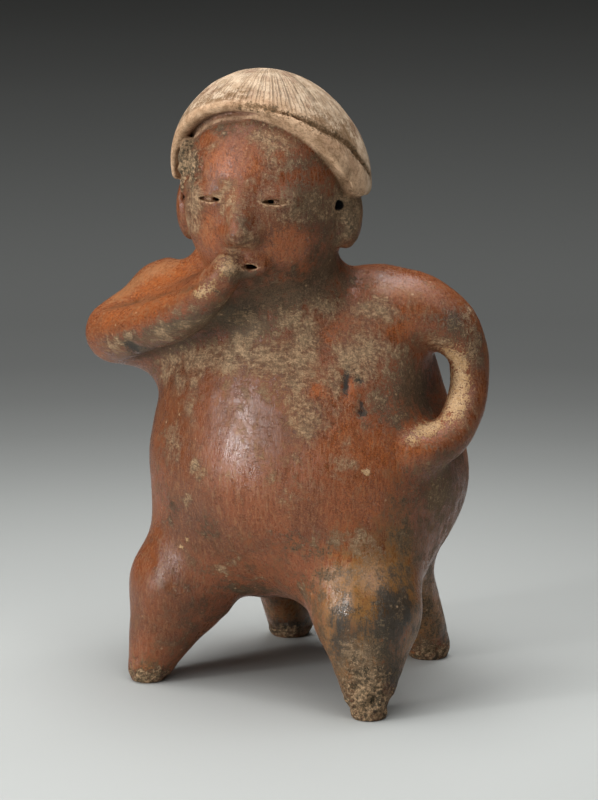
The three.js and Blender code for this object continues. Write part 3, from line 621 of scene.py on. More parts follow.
# Marks on the clay. Each one is placed by the pixel of its middle in the photograph's frame, where the ray
# first meets the clay, and then lies on the clay itself: (px, py, half width, half height, strength), and a
# turn in degrees where it has one. Half sizes are pixels of the same frame, about half a millimetre each.
MARKS = {
    # Slip worn thin and orange.
    "warm": (
        (147, 304, 50, 11, 1, 15), (160, 277, 38, 15, 0.8, 25), (105, 318, 16, 12, 0.7, 40),
        (218, 163, 18, 14, 0.8), (281, 155, 20, 9, 0.7), (206, 235, 9, 20, 0.8), (293, 247, 24, 17, 1, 15),
        (302, 274, 12, 12, 0.6), (254, 168, 10, 10, 0.5), (428, 441, 14, 9, 0.8, 20),
        (350, 288, 24, 10, 0.6, 8), (400, 288, 26, 9, 0.6, -8), (388, 322, 12, 10, 0.9),
        (355, 319, 11, 6, 1, 20), (408, 331, 10, 9, 1), (327, 336, 9, 8, 0.8, 20), (318, 384, 13, 10, 1, -20),
        (351, 382, 7, 13, 1), (412, 315, 14, 8, 0.6), (340, 325, 16, 9, 0.6, 30), (400, 345, 16, 12, 0.4),
        (165, 420, 10, 40, 0.2), (200, 450, 12, 50, 0.15), (330, 430, 40, 30, 0.35),
        (150, 560, 10, 30, 0.2, 15), (335, 560, 12, 22, 0.6), (322, 600, 6, 24, 0.8), (380, 575, 14, 20, 0.5),
        (395, 460, 30, 50, 0.5), (360, 515, 30, 24, 0.4),
    ),
    # Slip fired darker.
    "deep": (
        (178, 455, 22, 90, 0.75), (160, 575, 26, 56, 0.7), (200, 510, 26, 30, 0.5), (452, 320, 20, 16, 1, 20),
        (480, 365, 12, 50, 0.8), (225, 545, 30, 18, 0.5), (130, 625, 10, 44, 0.6),
        (185, 600, 16, 22, 0.6, 35), (262, 200, 14, 40, 0.4), (300, 165, 20, 16, 0.4),
        (380, 300, 60, 16, 0.3), (150, 312, 60, 6, 0.5, 14), (365, 350, 50, 40, 0.35), (255, 125, 36, 6, 0.5),
    ),
    # Yellow-brown clay where the firing left the slip thin.
    "ochre": (
        (346, 590, 30, 40, 0.7), (402, 574, 20, 66, 0.9), (365, 673, 26, 34, 0.8), (338, 640, 20, 44, 0.9),
        (428, 600, 15, 44, 0.9), (372, 640, 30, 44, 0.85), (370, 575, 34, 26, 0.75), (356, 215, 13, 28, 0.9),
        (335, 602, 8, 22, 0.7), (287, 610, 22, 18, 0.7), (440, 515, 14, 40, 0.6), (415, 640, 12, 24, 0.6),
        (260, 594, 46, 5, 0.5), (145, 672, 15, 9, 0.6), (300, 545, 26, 10, 0.3),
    ),
    # Grey-brown film of burial dirt, and painted shade under the chin, forearm and elbow, on the neck, inside
    # the arm's loop, down the figure's left flank and on the cap's sides; one faint grey mark paints the
    # belly's sheen.
    "film_and_shade": (
        (210, 106, 24, 9, 0.8, 28), (192, 122, 12, 16, 0.5, 30), (186, 148, 6, 20, 0.6, -15),
        (268, 104, 24, 4, 0.5, -8), (452, 322, 16, 12, 0.35), (478, 350, 8, 18, 0.4), (455, 340, 14, 8, 0.5),
        (345, 132, 14, 20, 0.7, -25), (355, 155, 7, 16, 0.85, -15), (322, 120, 14, 14, 0.4),
        (178, 142, 7, 22, 0.9), (192, 108, 16, 12, 0.8, 40), (366, 664, 18, 34, 0.55),
        (384, 660, 14, 30, 0.5), (175, 349, 40, 6, 0.8, 10), (245, 330, 30, 10, 0.5, 10),
        (168, 330, 52, 8, 0.95, 14), (222, 318, 28, 11, 0.9, 14), (281, 298, 46, 17, 0.95, 6),
        (255, 330, 40, 12, 0.6, 5), (330, 270, 15, 20, 0.8), (345, 285, 14, 12, 0.5),
        (134, 352, 16, 6, 0.8, -25), (148, 368, 12, 7, 0.7, -35), (300, 300, 30, 10, 0.7, 12),
        (227, 125, 16, 8, 0.5), (274, 124, 25, 7, 0.5), (299, 192, 16, 14, 0.7), (315, 208, 14, 18, 0.8),
        (306, 164, 10, 22, 0.4), (334, 235, 9, 26, 0.7), (321, 156, 12, 16, 0.7), (245, 222, 10, 8, 0.7),
        (243, 276, 12, 6, 0.9), (351, 207, 13, 24, 0.7), (409, 380, 15, 30, 0.8), (425, 398, 12, 24, 0.7),
        (380, 402, 16, 22, 0.45), (294, 478, 6, 5, 0.3), (450, 481, 18, 42, 0.45), (418, 500, 18, 34, 0.3),
        (251, 392, 22, 26, 0.15), (294, 541, 22, 10, 0.25), (169, 511, 8, 10, 0.3), (211, 527, 14, 10, 0.2),
        (249, 592, 40, 4, 0.5), (407, 539, 12, 32, 0.4), (440, 520, 16, 36, 0.35), (160, 470, 6, 40, 0.2),
        (235, 350, 26, 10, 0.4), (320, 560, 20, 20, 0.15), (345, 142, 14, 12, 0.5, 30),
        (432, 590, 10, 40, 0.4),
    ),
    # Dark fire cloud and soot, and painted shade under the right forearm and chin, inside the arm's loop and
    # on the rear leg under the belly.
    "smoke_and_shade": (
        (340, 632, 7, 12, 0.4, 10), (372, 624, 12, 8, 0.4), (392, 606, 10, 18, 0.6),
        (347, 640, 8, 18, 0.7, 10), (393, 634, 14, 30, 0.85), (347, 610, 8, 22, 0.4), (335, 648, 8, 16, 0.8),
        (404, 620, 12, 26, 0.85, -10), (362, 634, 20, 6, 0.55), (185, 343, 46, 5, 0.6, 12),
        (240, 332, 26, 7, 0.4, 10), (346, 184, 6, 9, 1, -35), (170, 326, 50, 5, 0.7, 14),
        (222, 322, 18, 7, 0.65, 14), (455, 322, 12, 10, 0.5), (337, 626, 8, 16, 0.5, 10),
        (396, 680, 9, 24, 0.8, 10), (381, 707, 7, 4, 1, 20), (386, 600, 8, 14, 0.3), (285, 628, 22, 7, 0.8),
        (445, 640, 5, 9, 0.6), (219, 317, 20, 8, 0.45, 16), (130, 351, 9, 4, 0.9, -25),
        (426, 400, 10, 22, 0.6), (346, 379, 3, 13, 0.9, -4), (362, 378, 2, 3, 0.9), (366, 411, 3, 3, 0.8),
        (240, 316, 14, 6, 0.4, 10),
    ),
    # Cream and ochre grit that clings to the slip.
    "crust": (
        (290, 348, 80, 24, 0.36), (385, 322, 56, 22, 0.28), (205, 356, 50, 16, 0.4), (380, 390, 40, 40, 0.14),
        (245, 420, 50, 40, 0.12), (368, 548, 26, 12, 0.3), (330, 470, 60, 40, 0.2), (290, 150, 34, 22, 0.25),
        (300, 205, 34, 26, 0.3), (232, 225, 24, 34, 0.3), (165, 320, 50, 12, 0.3, 14),
        (440, 500, 24, 60, 0.2), (352, 224, 13, 24, 1), (352, 204, 12, 10, 0.7), (187, 215, 8, 28, 0.5),
        (190, 165, 6, 14, 0.7), (313, 334, 20, 13, 0.9, 20), (297, 320, 18, 7, 0.7, 25),
        (337, 311, 15, 8, 0.7, 20), (377, 306, 13, 8, 1), (361, 311, 10, 7, 0.8), (230, 352, 27, 9, 0.8),
        (267, 360, 23, 11, 0.8), (294, 377, 16, 14, 0.8), (195, 360, 16, 7, 0.75), (171, 358, 14, 7, 0.7),
        (192, 386, 7, 15, 0.5), (174, 379, 9, 8, 0.7), (334, 386, 8, 13, 0.8), (350, 354, 12, 7, 0.7),
        (372, 350, 14, 10, 0.7), (396, 345, 10, 7, 0.5), (310, 414, 15, 15, 0.65), (302, 428, 10, 10, 0.5),
        (369, 372, 11, 12, 0.6), (364, 408, 9, 6, 0.6), (436, 346, 15, 5, 0.7), (472, 322, 5, 14, 0.3),
        (476, 349, 5, 15, 0.5), (468, 411, 7, 13, 0.4), (191, 465, 3, 5, 1), (168, 443, 7, 15, 0.55),
        (201, 476, 4, 6, 0.5), (291, 460, 5, 4, 0.5), (187, 500, 5, 5, 0.5), (425, 470, 9, 8, 0.6),
        (109, 346, 13, 7, 0.7, -20), (160, 372, 10, 10, 0.6), (255, 131, 12, 5, 0.6, -15),
        (273, 136, 14, 3, 0.5), (207, 147, 7, 4, 0.6, 25), (242, 121, 4, 6, 0.5), (293, 144, 12, 3, 0.5),
        (268, 160, 8, 8, 0.6), (287, 208, 14, 8, 0.6), (295, 220, 12, 6, 0.5), (249, 241, 12, 6, 0.6),
        (230, 254, 14, 8, 0.7, 20), (218, 205, 7, 10, 0.4), (226, 186, 8, 5, 0.5), (262, 193, 7, 6, 0.5),
        (191, 203, 6, 15, 0.8), (365, 570, 15, 26, 0.2), (346, 541, 18, 8, 0.15), (354, 672, 10, 24, 0.8),
        (372, 680, 11, 17, 0.6), (352, 648, 8, 12, 0.4), (221, 570, 6, 5, 0.6), (235, 562, 6, 4, 0.45),
        (261, 580, 5, 1.5, 1), (315, 539, 4, 8, 0.4), (326, 300, 14, 8, 0.5, 15), (200, 325, 12, 5, 0.4, 10),
        (385, 316, 20, 8, 0.4), (415, 440, 8, 6, 0.5), (160, 340, 10, 4, 0.5, 10),
    ),
    # Slip rubbed thin and pale, and painted highlights and sheen on the shoulders, above the forearm's fold
    # and down the belly.
    "pale_and_sheen": (
        (150, 303, 42, 6, 0.4, 14), (150, 270, 34, 9, 1, 24), (120, 292, 22, 7, 0.8, 28),
        (395, 286, 30, 8, 0.5, -8), (205, 240, 8, 16, 0.4), (228, 470, 9, 60, 0.3), (350, 572, 12, 20, 0.5),
    ),
    # The fold where the right forearm meets the shoulder, pressed in and darkened with painted shade.
    "crease_and_shade": (
        (128, 300, 20, 1.8, 0.8, 13), (160, 293, 20, 1.8, 0.9, 13), (186, 287, 14, 1.8, 0.8, 16),
    ),
    # Slip that kept its polish.
    "gloss": (
        (238, 440, 18, 75, 0.9), (350, 604, 18, 42, 1), (150, 620, 12, 30, 0.6), (161, 580, 8, 26, 0.9, 20),
        (395, 283, 26, 8, 0.6, -8), (160, 277, 30, 10, 0.7, 25),
    ),
    # Rough broken clay at the tips of the legs.
    "crumble": (
        (364, 706, 26, 24, 1), (352, 672, 9, 22, 0.6, 8), (377, 676, 8, 14, 0.5), (145, 682, 20, 8, 0.9),
        (434, 655, 22, 10, 0.8), (284, 634, 26, 6, 0.7), (189, 166, 8, 17, 1), (352, 222, 12, 22, 0.5),
    ),
    # Hollows pressed or broken into the clay, and lumps of it.
    "dent": (
        (128, 350, 8, 5, 0.8, -25), (346, 381, 3, 14, 0.7, -4), (362, 378, 4, 3, 0.7), (366, 411, 4, 4, 0.8),
        (364, 402, 2, 3, 0.6), (430, 380, 8, 20, 0.25), (355, 366, 2, 2, 0.6), (346, 184, 5, 7, 0.8, -35),
        (150, 352, 30, 4, 0.3, 12), (356, 690, 5, 7, 0.8, 10), (377, 704, 7, 4, 0.9, 20),
        (358, 716, 6, 4, 0.8, -20),
    ),
    "lump": (
        (250, 522, 62, 44, 0.9), (350, 606, 9, 34, 0.4), (162, 585, 7, 30, 0.35, 12), (192, 160, 5, 8, 0.5),
        (196, 174, 5, 5, 0.35), (350, 232, 9, 8, 0.3), (370, 690, 7, 8, 0.5), (345, 702, 6, 8, 0.4),
        (415, 440, 9, 6, 0.3, 20),
    ),
    # Pale bare clay under the slip.
    "bare": (
        (203, 291, 10, 6, 0.75, 35), (230, 266, 21, 8, 0.45, 38), (219, 257, 10, 6, 0.45, 20),
        (458, 378, 9, 25, 1), (455, 402, 10, 15, 1, -10), (428, 425, 18, 8, 0.9, 22),
        (412, 436, 9, 6, 0.6, 25), (448, 356, 12, 6, 0.8, -30), (369, 471, 4, 4, 1.1), (186, 172, 5, 14, 0.7),
        (358, 692, 12, 15, 0.75), (145, 677, 13, 5, 0.7), (433, 647, 15, 8, 0.6), (178, 545, 2.5, 2, 1.2),
        (352, 196, 10, 7, 0.5, -20), (186, 540, 1.5, 1.5, 0.9), (196, 293, 6, 5, 0.5, 35),
    ),
}

# Marks on the sides that the photograph doesn't show: (x, y, z, reach, strength) in millimetres.
FAR_MARKS = {
    "warm": (
        (-40, 70, 120, 26, 0.6), (30, 66, 160, 22, 0.6), (-70, 40, 175, 20, 0.7), (80, 30, 120, 18, 0.6),
    ),
    "ochre": (
        (48, 60, 20, 26, 0.9), (-30, 60, 16, 24, 0.9), (0, 60, 62, 26, 0.6), (-66, -50, 16, 14, 0.5),
    ),
    "film_and_shade": (
        (9, 60, 205, 24, 0.7), (-60, 44, 80, 26, 0.6), (60, 50, 80, 26, 0.6), (20, 76, 110, 18, 0.4),
        (-10, 40, 215, 22, 0.7), (9, 0, 30, 60, 0.4),
    ),
    "smoke_and_shade": (
        (40, 70, 90, 24, 0.7), (-34, 64, 8, 12, 0.7), (52, 62, 6, 12, 0.6), (-68, 30, 130, 16, 0.35),
    ),
    "crust": (
        (-20, 48, 190, 22, 0.8), (40, 44, 186, 18, 0.7), (10, 72, 140, 16, 0.6), (-50, 62, 150, 14, 0.7),
        (70, 44, 150, 14, 0.5), (-70, 20, 110, 14, 0.5), (-20, 76, 100, 10, 0.5), (30, 74, 70, 12, 0.6),
        (-80, 10, 185, 12, 0.6),
    ),
    "crumble": (
        (49, 60, 2, 12, 0.9), (-31, 60, 2, 12, 0.9), (-52, -43, 1, 12, 0.7), (71, -43, 1, 14, 0.9),
    ),
    "bare": (
        (49, 62, 4, 9, 0.9), (-31, 62, 4, 9, 0.9), (-52, -46, 3, 9, 0.8), (71, -46, 3, 9, 0.8),
        (60, 60, 128, 4, 0.8), (-30, 74, 132, 3, 0.9), (84, -20, 150, 10, 0.5),
    ),
}


def marks_on(points):
    """How much of each kind of mark lies on each point, 0 to 1."""
    px, py, depth = seen_at(points)
    _, right, up, back = photo_camera()
    found = {}
    for kind, marks in MARKS.items():
        rest = np.ones(len(points))
        for u, v, half_width, half_height, strength, *turn in marks:
            close = np.flatnonzero(np.hypot(px - u, py - v) < MARK_FIND)
            middle = points[close[np.argmin(depth[close])]]
            q = points - middle
            angle = math.radians(turn[0] if turn else 0)
            c, s = math.cos(angle), math.sin(angle)
            across, rise = q @ right, q @ up
            reach = max(half_width, half_height) * PIXEL + MARK_DEPTH_EXTRA
            size2 = (((across * c + rise * s) / (half_width * PIXEL)) ** 2
                     + ((rise * c - across * s) / (half_height * PIXEL)) ** 2
                     + ((q @ back) / reach) ** 2)
            rest *= 1 - np.clip(strength * np.exp(-MARK_FALL * size2), 0, 1)
        for x, y, z, reach, strength in FAR_MARKS.get(kind, ()):
            size2 = ((points - (x, y, z)) ** 2).sum(1) / reach ** 2
            rest *= 1 - np.clip(strength * np.exp(-size2), 0, 1)
        found[kind] = 1 - rest
    return found


def slit_rims(q):
    """1 on the narrow rims of the eyes and mouth, fading out round them."""
    nearest = np.full(len(q[0]), float(FAR))
    for (x, z, width, _), _ in SLITS:
        nearest = np.minimum(nearest, np.hypot((q[0] - x) / (width / 2), (q[2] - z) / SLIT_RIM))
    return 1 - smooth(nearest, 0.95, 1.5)


def line_turns(around, sine):
    """How many deep lines lie between the cap's front and an angle around its crown."""
    turns = around * (DEEP_LINES / (2 * math.pi))
    for waves, swing, start in LINE_WAVES:
        turns = turns + sine(around * waves + start) * swing
    return turns


def deep_lines(q):
    """Depth of the deeper lines cut from the crown of the cap to its rim, 0 to 1."""
    across, along = q[0] - CROWN[0], q[1] - CROWN[1]
    turns = line_turns(np.arctan2(across, -along), np.sin)
    off = np.abs(turns - np.floor(turns) - 0.5)
    return (1 - smooth(off, 0.02, 0.17)) * smooth(np.hypot(across, along), 7, 16)


def worked(points, quads, marks, parts):
    """The surface with its hand-made lumps, dents, cut lines and broken tips."""
    normals = normals_of(points, quads)
    broad, fine = Noise(3), Noise(8)
    head = smooth(points[:, 2], HEAD_MARKS_FROM, HEAD_MARKS_FROM + 16)
    lumps = broad(points, LUMP_SPACING) + 0.5 * fine(points, SMALL_LUMP_SPACING)
    height = LUMP * lumps * (1 - 0.6 * head)
    height += FACET * fine(points + 50, FACET_SPACING)
    height += marks["crust"] * CRUST_HEIGHT * broad(points, CRUST_SPACING)
    crumbs = broad(points, CRUMBLE_SPACING) + 0.8 * fine(points, CRUMB_SPACING) - 0.35
    height += marks["crumble"] * CRUMBLE_HEIGHT * crumbs
    height += MARK_HEIGHT * (marks["lump"] - marks["dent"] - CREASE_SHARE * marks["crease_and_shade"])
    lines = parts["dome"] * parts["cap"] * deep_lines(turned_with_head(from_midplane(*points.T)))
    height -= LINE_DEPTH * lines * smooth(broad(points, GAP_SPACING), -0.5, 0.2)
    height += parts["groove"] * GRIT_HEIGHT * fine(points, GRIT_SPACING)
    height *= smooth(points[:, 2], 0.3, 4) * (1 - parts["slit"]) * (1 - parts["hole"])
    found = points + normals * height[:, None]
    found[:, 2] = np.maximum(found[:, 2], 0)
    return found


def part_masks(points):
    """Where the cap, its groove, the forearm and the holes are; the holes are laid with painted shade."""
    p = from_midplane(*points.T)
    q = turned_with_head(p)
    face, skull = face_field(q)
    _, from_rim, above = cap_parts(q)
    groove = near(q, LIP_GROOVE, CUT_REACH, limb)
    patch = near(q, CLAY_PATCH, SMALL_REACH, limb)
    behind = smooth(q[1], CAP_Y - 6, CAP_Y + 6)
    slit_hole = np.where(q[1] < -45, smooth(-skull, 1.5, 5), 0) * (1 - smooth(above, 12, 18))
    ear_hole = taper([np.abs(q[0]), q[1], q[2]], *EAR_HOLE)
    ear_hole = smooth(-ear_hole, -1.2, 0.4) * smooth(-face, 0.6, 2)
    on_head = {
        "cap": 1 - smooth(np.abs(cap_field(q)), 0.4, 1.1),
        "groove": 1 - smooth(groove, -0.3, 3.4),
        "rim": smooth(-recess_field(q), -1.4, 0.2) * smooth(patch, 0.3, 2),
        "lip": (1 - behind) * (1 - smooth(from_rim, 1, 3.5 + 5 * lip_side(q))),
        "dome": smooth(groove, 0.6, 1.6) * np.maximum(smooth(from_rim, 1.5, 4), behind),
        "slit": np.where(q[1] < FACE_FRONT, slit_rims(q), 0),
        "patch": 1 - smooth(patch, 0.4, 1.6),
        "hole": np.maximum(slit_hole, ear_hole),
    }
    found = {name: np.where(points[:, 2] > HEAD_MARKS_FROM, share, 0) for name, share in on_head.items()}
    found["forearm"] = 1 - smooth(near(p, RIGHT_FOREARM, LIMB_REACH, limb), 1, 9)
    return found


# Material.

def srgb(text):
    """Linear colour of a #rrggbb text."""
    values = [int(text[i:i + 2], 16) / 255 for i in (1, 3, 5)]
    return tuple(v / 12.92 if v <= 0.04045 else ((v + 0.055) / 1.055) ** 2.4 for v in values) + (1.0,)


SLIP_RED = srgb("#884828")
SLIP_ORANGE = srgb("#a65727")
SLIP_DARK = srgb("#532e1b")
SLIP_BROWN = srgb("#5a402a")
SLIP_PALE = srgb("#9c6c46")
OCHRE = srgb("#91693b")
OCHRE_DARK = srgb("#574328")
FILM_AND_SHADE = srgb("#6d6049")
FILM_DARK = srgb("#3b3122")
SMOKE = srgb("#282723")
CRUST = srgb("#c09d79")
CRUST_GREY = srgb("#9c8263")
CRUST_DARK = srgb("#72522f")
BARE = srgb("#b68f62")
BARE_PALE = srgb("#d6b58c")
CAP_CREAM = srgb("#b79c80")
CAP_PALE = srgb("#cbb398")
CAP_SHADE = srgb("#5e4e38")
CAP_ROSE = srgb("#a07d66")
LIP_TAN = srgb("#d2a882")
DIRT = srgb("#433a28")
HOLE_SHADE = srgb("#040303")
SHINE = 0.4
BUMP_DISTANCE = 0.0006

# Noises of the clay: (size in millimetres, detail, roughness).
NOISES = {
    "broad": (42, 3, 0.5),
    "patch": (13, 4, 0.6),
    "blotch": (5, 5, 0.7),
    "rubble": (3.1, 6, 0.8),
    "grain": (1.6, 5, 0.7),
    "speck": (0.75, 3, 0.6),
    "dust": (0.45, 2, 0.6),
}


class Value:
    """The output of a shader node, which adds, subtracts and multiplies like a number."""

    def __init__(self, tree, socket):
        self.tree = tree
        self.socket = socket

    def __add__(self, other):
        return self.tree.math("ADD", self, other)

    def __sub__(self, other):
        return self.tree.math("SUBTRACT", self, other)

    def __rsub__(self, other):
        return self.tree.math("SUBTRACT", other, self)

    def __mul__(self, other):
        return self.tree.math("MULTIPLY", self, other)


class Tree:
    """Short ways to add shader nodes to a material."""

    def __init__(self, material):
        material.use_nodes = True
        self.nodes = material.node_tree.nodes
        self.links = material.node_tree.links
        self.shader = self.nodes["Principled BSDF"]
        self.place = self.add("ShaderNodeTexCoord", "Object", {})

    def put(self, socket, value):
        if isinstance(value, Value):
            self.links.new(value.socket, socket)
        else:
            socket.default_value = value

    def add(self, kind, output, inputs, **settings):
        """The named output of a new node with these inputs and settings."""
        node = self.nodes.new(kind)
        for name, value in settings.items():
            setattr(node, name, value)
        for name, value in inputs.items():
            self.put(node.inputs[name], value)
        return Value(self, node.outputs[output])

    def math(self, operation, a, b=0.0):
        return self.add("ShaderNodeMath", 0, {0: a, 1: b}, operation=operation)

    def ramp(self, value, low, high, top=1.0, base=0.0):
        """A smooth step from base where the value is low to top where it is high."""
        inputs = {"Value": value, "From Min": low, "From Max": high, "To Min": base, "To Max": top}
        return self.add("ShaderNodeMapRange", "Result", inputs, interpolation_type="SMOOTHSTEP")

    def mix(self, share, a, b):
        """A colour between two."""
        return self.add("ShaderNodeMix", 2, {0: share, 6: a, 7: b}, data_type="RGBA")

    def blend(self, share, a, b):
        """A number between two."""
        return self.add("ShaderNodeMix", 0, {0: share, 2: a, 3: b})

    def mapped(self, scale=(1, 1, 1), turn=(0, 0, 0), move=(0, 0, 0)):
        inputs = {"Vector": self.place, "Location": move, "Rotation": turn, "Scale": scale}
        return self.add("ShaderNodeMapping", "Vector", inputs)

    def noise(self, millimetres, detail, roughness, place=None, distortion=0.0):
        inputs = {"Vector": place or self.place, "Scale": 1000 / millimetres, "Detail": detail,
                  "Roughness": roughness, "Distortion": distortion}
        return self.add("ShaderNodeTexNoise", "Fac", inputs)

    def cells(self, millimetres):
        inputs = {"Vector": self.place, "Scale": 1000 / millimetres}
        return self.add("ShaderNodeTexVoronoi", "Distance", inputs)

    def mask(self, name):
        return self.add("ShaderNodeAttribute", "Fac", {}, attribute_name=name)

    def cover(self, mask, noise, low, high):
        """Share covered where a mask is broken up by noise about zero."""
        return self.ramp(mask + noise, low, high) * self.ramp(mask, 0.02, 0.2)


class Coat:
    """Colours laid one over another."""

    def __init__(self, tree, colour):
        self.tree = tree
        self.colour = colour

    def lay(self, share, colour):
        self.colour = self.tree.mix(share, self.colour, colour)


def largest(*values):
    found = values[0]
    for value in values[1:]:
        found = found.tree.math("MAXIMUM", found, value)
    return found


def cap_angle(t):
    """Angle around the crown of the cap, from its front."""
    middle = Vector(((CROWN[0] + MIDPLANE_X) * MILLIMETRE, (CROWN[1] + MIDPLANE_Y) * MILLIMETRE, 0))
    axis = Vector(((HEAD_AXIS[0] + MIDPLANE_X) * MILLIMETRE, (HEAD_AXIS[1] + MIDPLANE_Y) * MILLIMETRE, 0))
    turned = Matrix.Rotation(-HEAD_TURN, 3, "Z") @ axis
    place = t.mapped(turn=(0, 0, -HEAD_TURN), move=axis - turned - middle)
    across = t.add("ShaderNodeSeparateXYZ", "X", {"Vector": place})
    along = t.add("ShaderNodeSeparateXYZ", "Y", {"Vector": place})
    return t.math("ARCTAN2", across, along * -1.0)


def fine_lines(t, around, wobble):
    """Fine lines between the deep ones, 0 to 1."""
    inputs = {"W": around + (wobble - 0.5) * 0.12, "Scale": CAP_LINES / (2 * math.pi), "Randomness": 0.85}
    settings = {"voronoi_dimensions": "1D", "feature": "DISTANCE_TO_EDGE"}
    edges = t.add("ShaderNodeTexVoronoi", "Distance", inputs, **settings)
    return t.ramp(edges, 0.13, 0.03)


def shader_deep_lines(t, around):
    turns = line_turns(around, lambda value: t.math("SINE", value))
    off = t.math("ABSOLUTE", t.math("FRACT", turns) - 0.5)
    return t.ramp(off, 0.11, 0.02)


class Clay(Tree):
    """The clay's material, with the noises and masks that its layers share."""

    def __init__(self, material):
        super().__init__(material)
        for name, (millimetres, detail, roughness) in NOISES.items():
            setattr(self, name, self.noise(millimetres, detail, roughness))
        along_arm = self.mapped((0.2, 1, 1), (0, 0.45, 0.45))
        self.streak = self.brush_noise(1.5, 5, 0.7, self.mapped((1, 1, 0.2)), along_arm)
        self.stroke = self.brush_noise(1.3, 4, 0.65, self.mapped((0.3, 1, 1), (0, 0.9, 0.4)), along_arm)
        fibres = self.spread(dust=1.5, speck=1.6, grain=0.8, stroke=1.3, streak=1.5)
        self.brushed = fibres + self.spread(blotch=2.2, patch=2.0)
        self.gritty = self.spread(speck=1.6, grain=2.0, rubble=1.6, blotch=1.0)
        self.sooty = self.spread(dust=0.6, speck=0.9, streak=1.6, blotch=0.8, patch=1.6)
        near_stroke = self.ramp(self.math("ABSOLUTE", self.stroke - 0.5), 0.014, 0.002)
        self.scratch = near_stroke * self.ramp(self.blotch, 0.45, 0.6)
        self.clean = 1.0 - self.mask("deep") * 0.9

    def brush_noise(self, millimetres, detail, roughness, body, arm):
        """Noise drawn out along the strokes, which run along the arm on the right forearm."""
        on_body = self.noise(millimetres, detail, roughness, body, 0.3)
        on_arm = self.noise(millimetres, detail, roughness, arm, 0.3)
        return self.blend(self.mask("forearm"), on_body, on_arm)

    def spread(self, **weights):
        """Sum of the named noises about zero, each with its weight."""
        parts = [(getattr(self, name) - 0.5) * weight for name, weight in weights.items()]
        return sum(parts[1:], parts[0])


def lay_slip(t, coat):
    """Deep red slip, worn thinner and browner in clouds, with fine burnishing streaks, and pale slip with
    painted highlights and sheen on the shoulders and belly.
    """
    coat.lay(t.ramp(t.broad, 0.42, 0.66, 0.6), SLIP_DARK)
    coat.lay(t.ramp(t.patch, 0.48, 0.66, 0.6), SLIP_ORANGE)
    coat.lay(t.cover(t.mask("warm"), t.gritty, 0.35, 0.8) * 0.9, SLIP_ORANGE)
    coat.lay(t.cover(t.mask("deep"), t.sooty, 0.0, 1.0) * 0.75, SLIP_DARK)
    coat.lay(t.ramp(t.spread(patch=2.0, blotch=1.2, speck=1.0), 0.0, 0.45) * 0.35, SLIP_BROWN)
    coat.lay(t.ramp(t.streak, 0.48, 0.39, 0.4), SLIP_DARK)
    coat.lay(t.ramp(t.streak, 0.53, 0.62, 0.5), SLIP_PALE)
    coat.lay(t.ramp(t.speck, 0.53, 0.64, 0.45), SLIP_PALE)
    coat.lay(t.ramp(t.speck, 0.47, 0.36, 0.5), SLIP_DARK)
    coat.lay(t.ramp(t.dust, 0.54, 0.64, 0.4), SLIP_PALE)
    coat.lay(t.ramp(t.dust, 0.46, 0.36, 0.5), SLIP_DARK)
    haze = t.ramp(t.spread(grain=2.0, blotch=2.0, speck=1.6), 0.25, 0.6)
    coat.lay(haze * t.clean * 0.22, CRUST_GREY)
    coat.lay(t.scratch * 0.3, SLIP_DARK)
    # Painted highlights and sheen on the shoulders and belly, with rubbed pale slip.
    coat.lay(t.cover(t.mask("pale_and_sheen"), t.sooty, 0.1, 1.1) * 0.6, SLIP_PALE)


def lay_fire(t, coat):
    """Yellow-brown and smoke-dark firing clouds, with painted shade under the forearm and chin, in the arm's
    loop and on the rear leg under the belly.
    """
    ochre = t.mix(t.ramp(t.brushed, -0.3, 0.4), OCHRE, OCHRE_DARK)
    coat.lay(t.cover(t.mask("ochre"), t.sooty, 0.15, 0.9) * 0.85, ochre)
    # The smoke mask also lays painted shade: dark under the right forearm and chin, in the arm's loop and
    # under the belly.
    coat.lay(t.cover(t.mask("smoke_and_shade"), t.sooty, 0.1, 0.85) * 0.88, SMOKE)


def lay_dirt(t, coat):
    """Burial film with painted shade, and crust. Gives where the clay is stained or laid with painted shade,
    and where it is crusted.
    """
    film_and_shade = t.cover(t.mask("film_and_shade"), t.brushed, 0.15, 0.75)
    grime_and_shade = Coat(t, FILM_AND_SHADE)
    grime_and_shade.lay(t.ramp(t.brushed, -0.45, 0.2), FILM_DARK)
    grime_and_shade.lay(t.ramp(t.spread(stroke=3.0, dust=2.0, blotch=1.5), 0.1, 0.7, 0.65), CRUST_GREY)
    # The film mask lays burial dirt, and also painted shade under the chin, forearm and elbow, in the arm's
    # loop and on the shaded flank.
    coat.lay(film_and_shade * 0.85, grime_and_shade.colour)
    crusted = t.mask("crust") + t.ramp(t.patch, 0.5, 0.7, 0.12) * t.clean - t.mask("warm") * 0.35
    thin = t.cover(crusted, t.brushed, 0.0, 0.8)
    coat.lay(thin * 0.55, t.mix(t.ramp(t.speck, 0.44, 0.56), CRUST_GREY, CRUST_DARK))
    crust = t.cover(crusted, t.brushed, 0.35, 1.35)
    coat.lay(crust * 0.85, t.mix(t.ramp(t.speck, 0.42, 0.58), CRUST_GREY, CRUST))
    soiled = t.cover(t.mask("crust"), t.spread(stroke=-4.5, grain=-2.0, blotch=-1.5), 0.55, 1.0)
    coat.lay(soiled * 0.4, FILM_DARK)
    stain_and_shade = largest(film_and_shade, thin)
    coat.lay(t.scratch * stain_and_shade * 0.8, DIRT)
    coat.lay(t.ramp(t.cells(7), 0.12, 0.05) * t.ramp(t.patch, 0.45, 0.6) * 0.6, CRUST)
    return stain_and_shade, crust


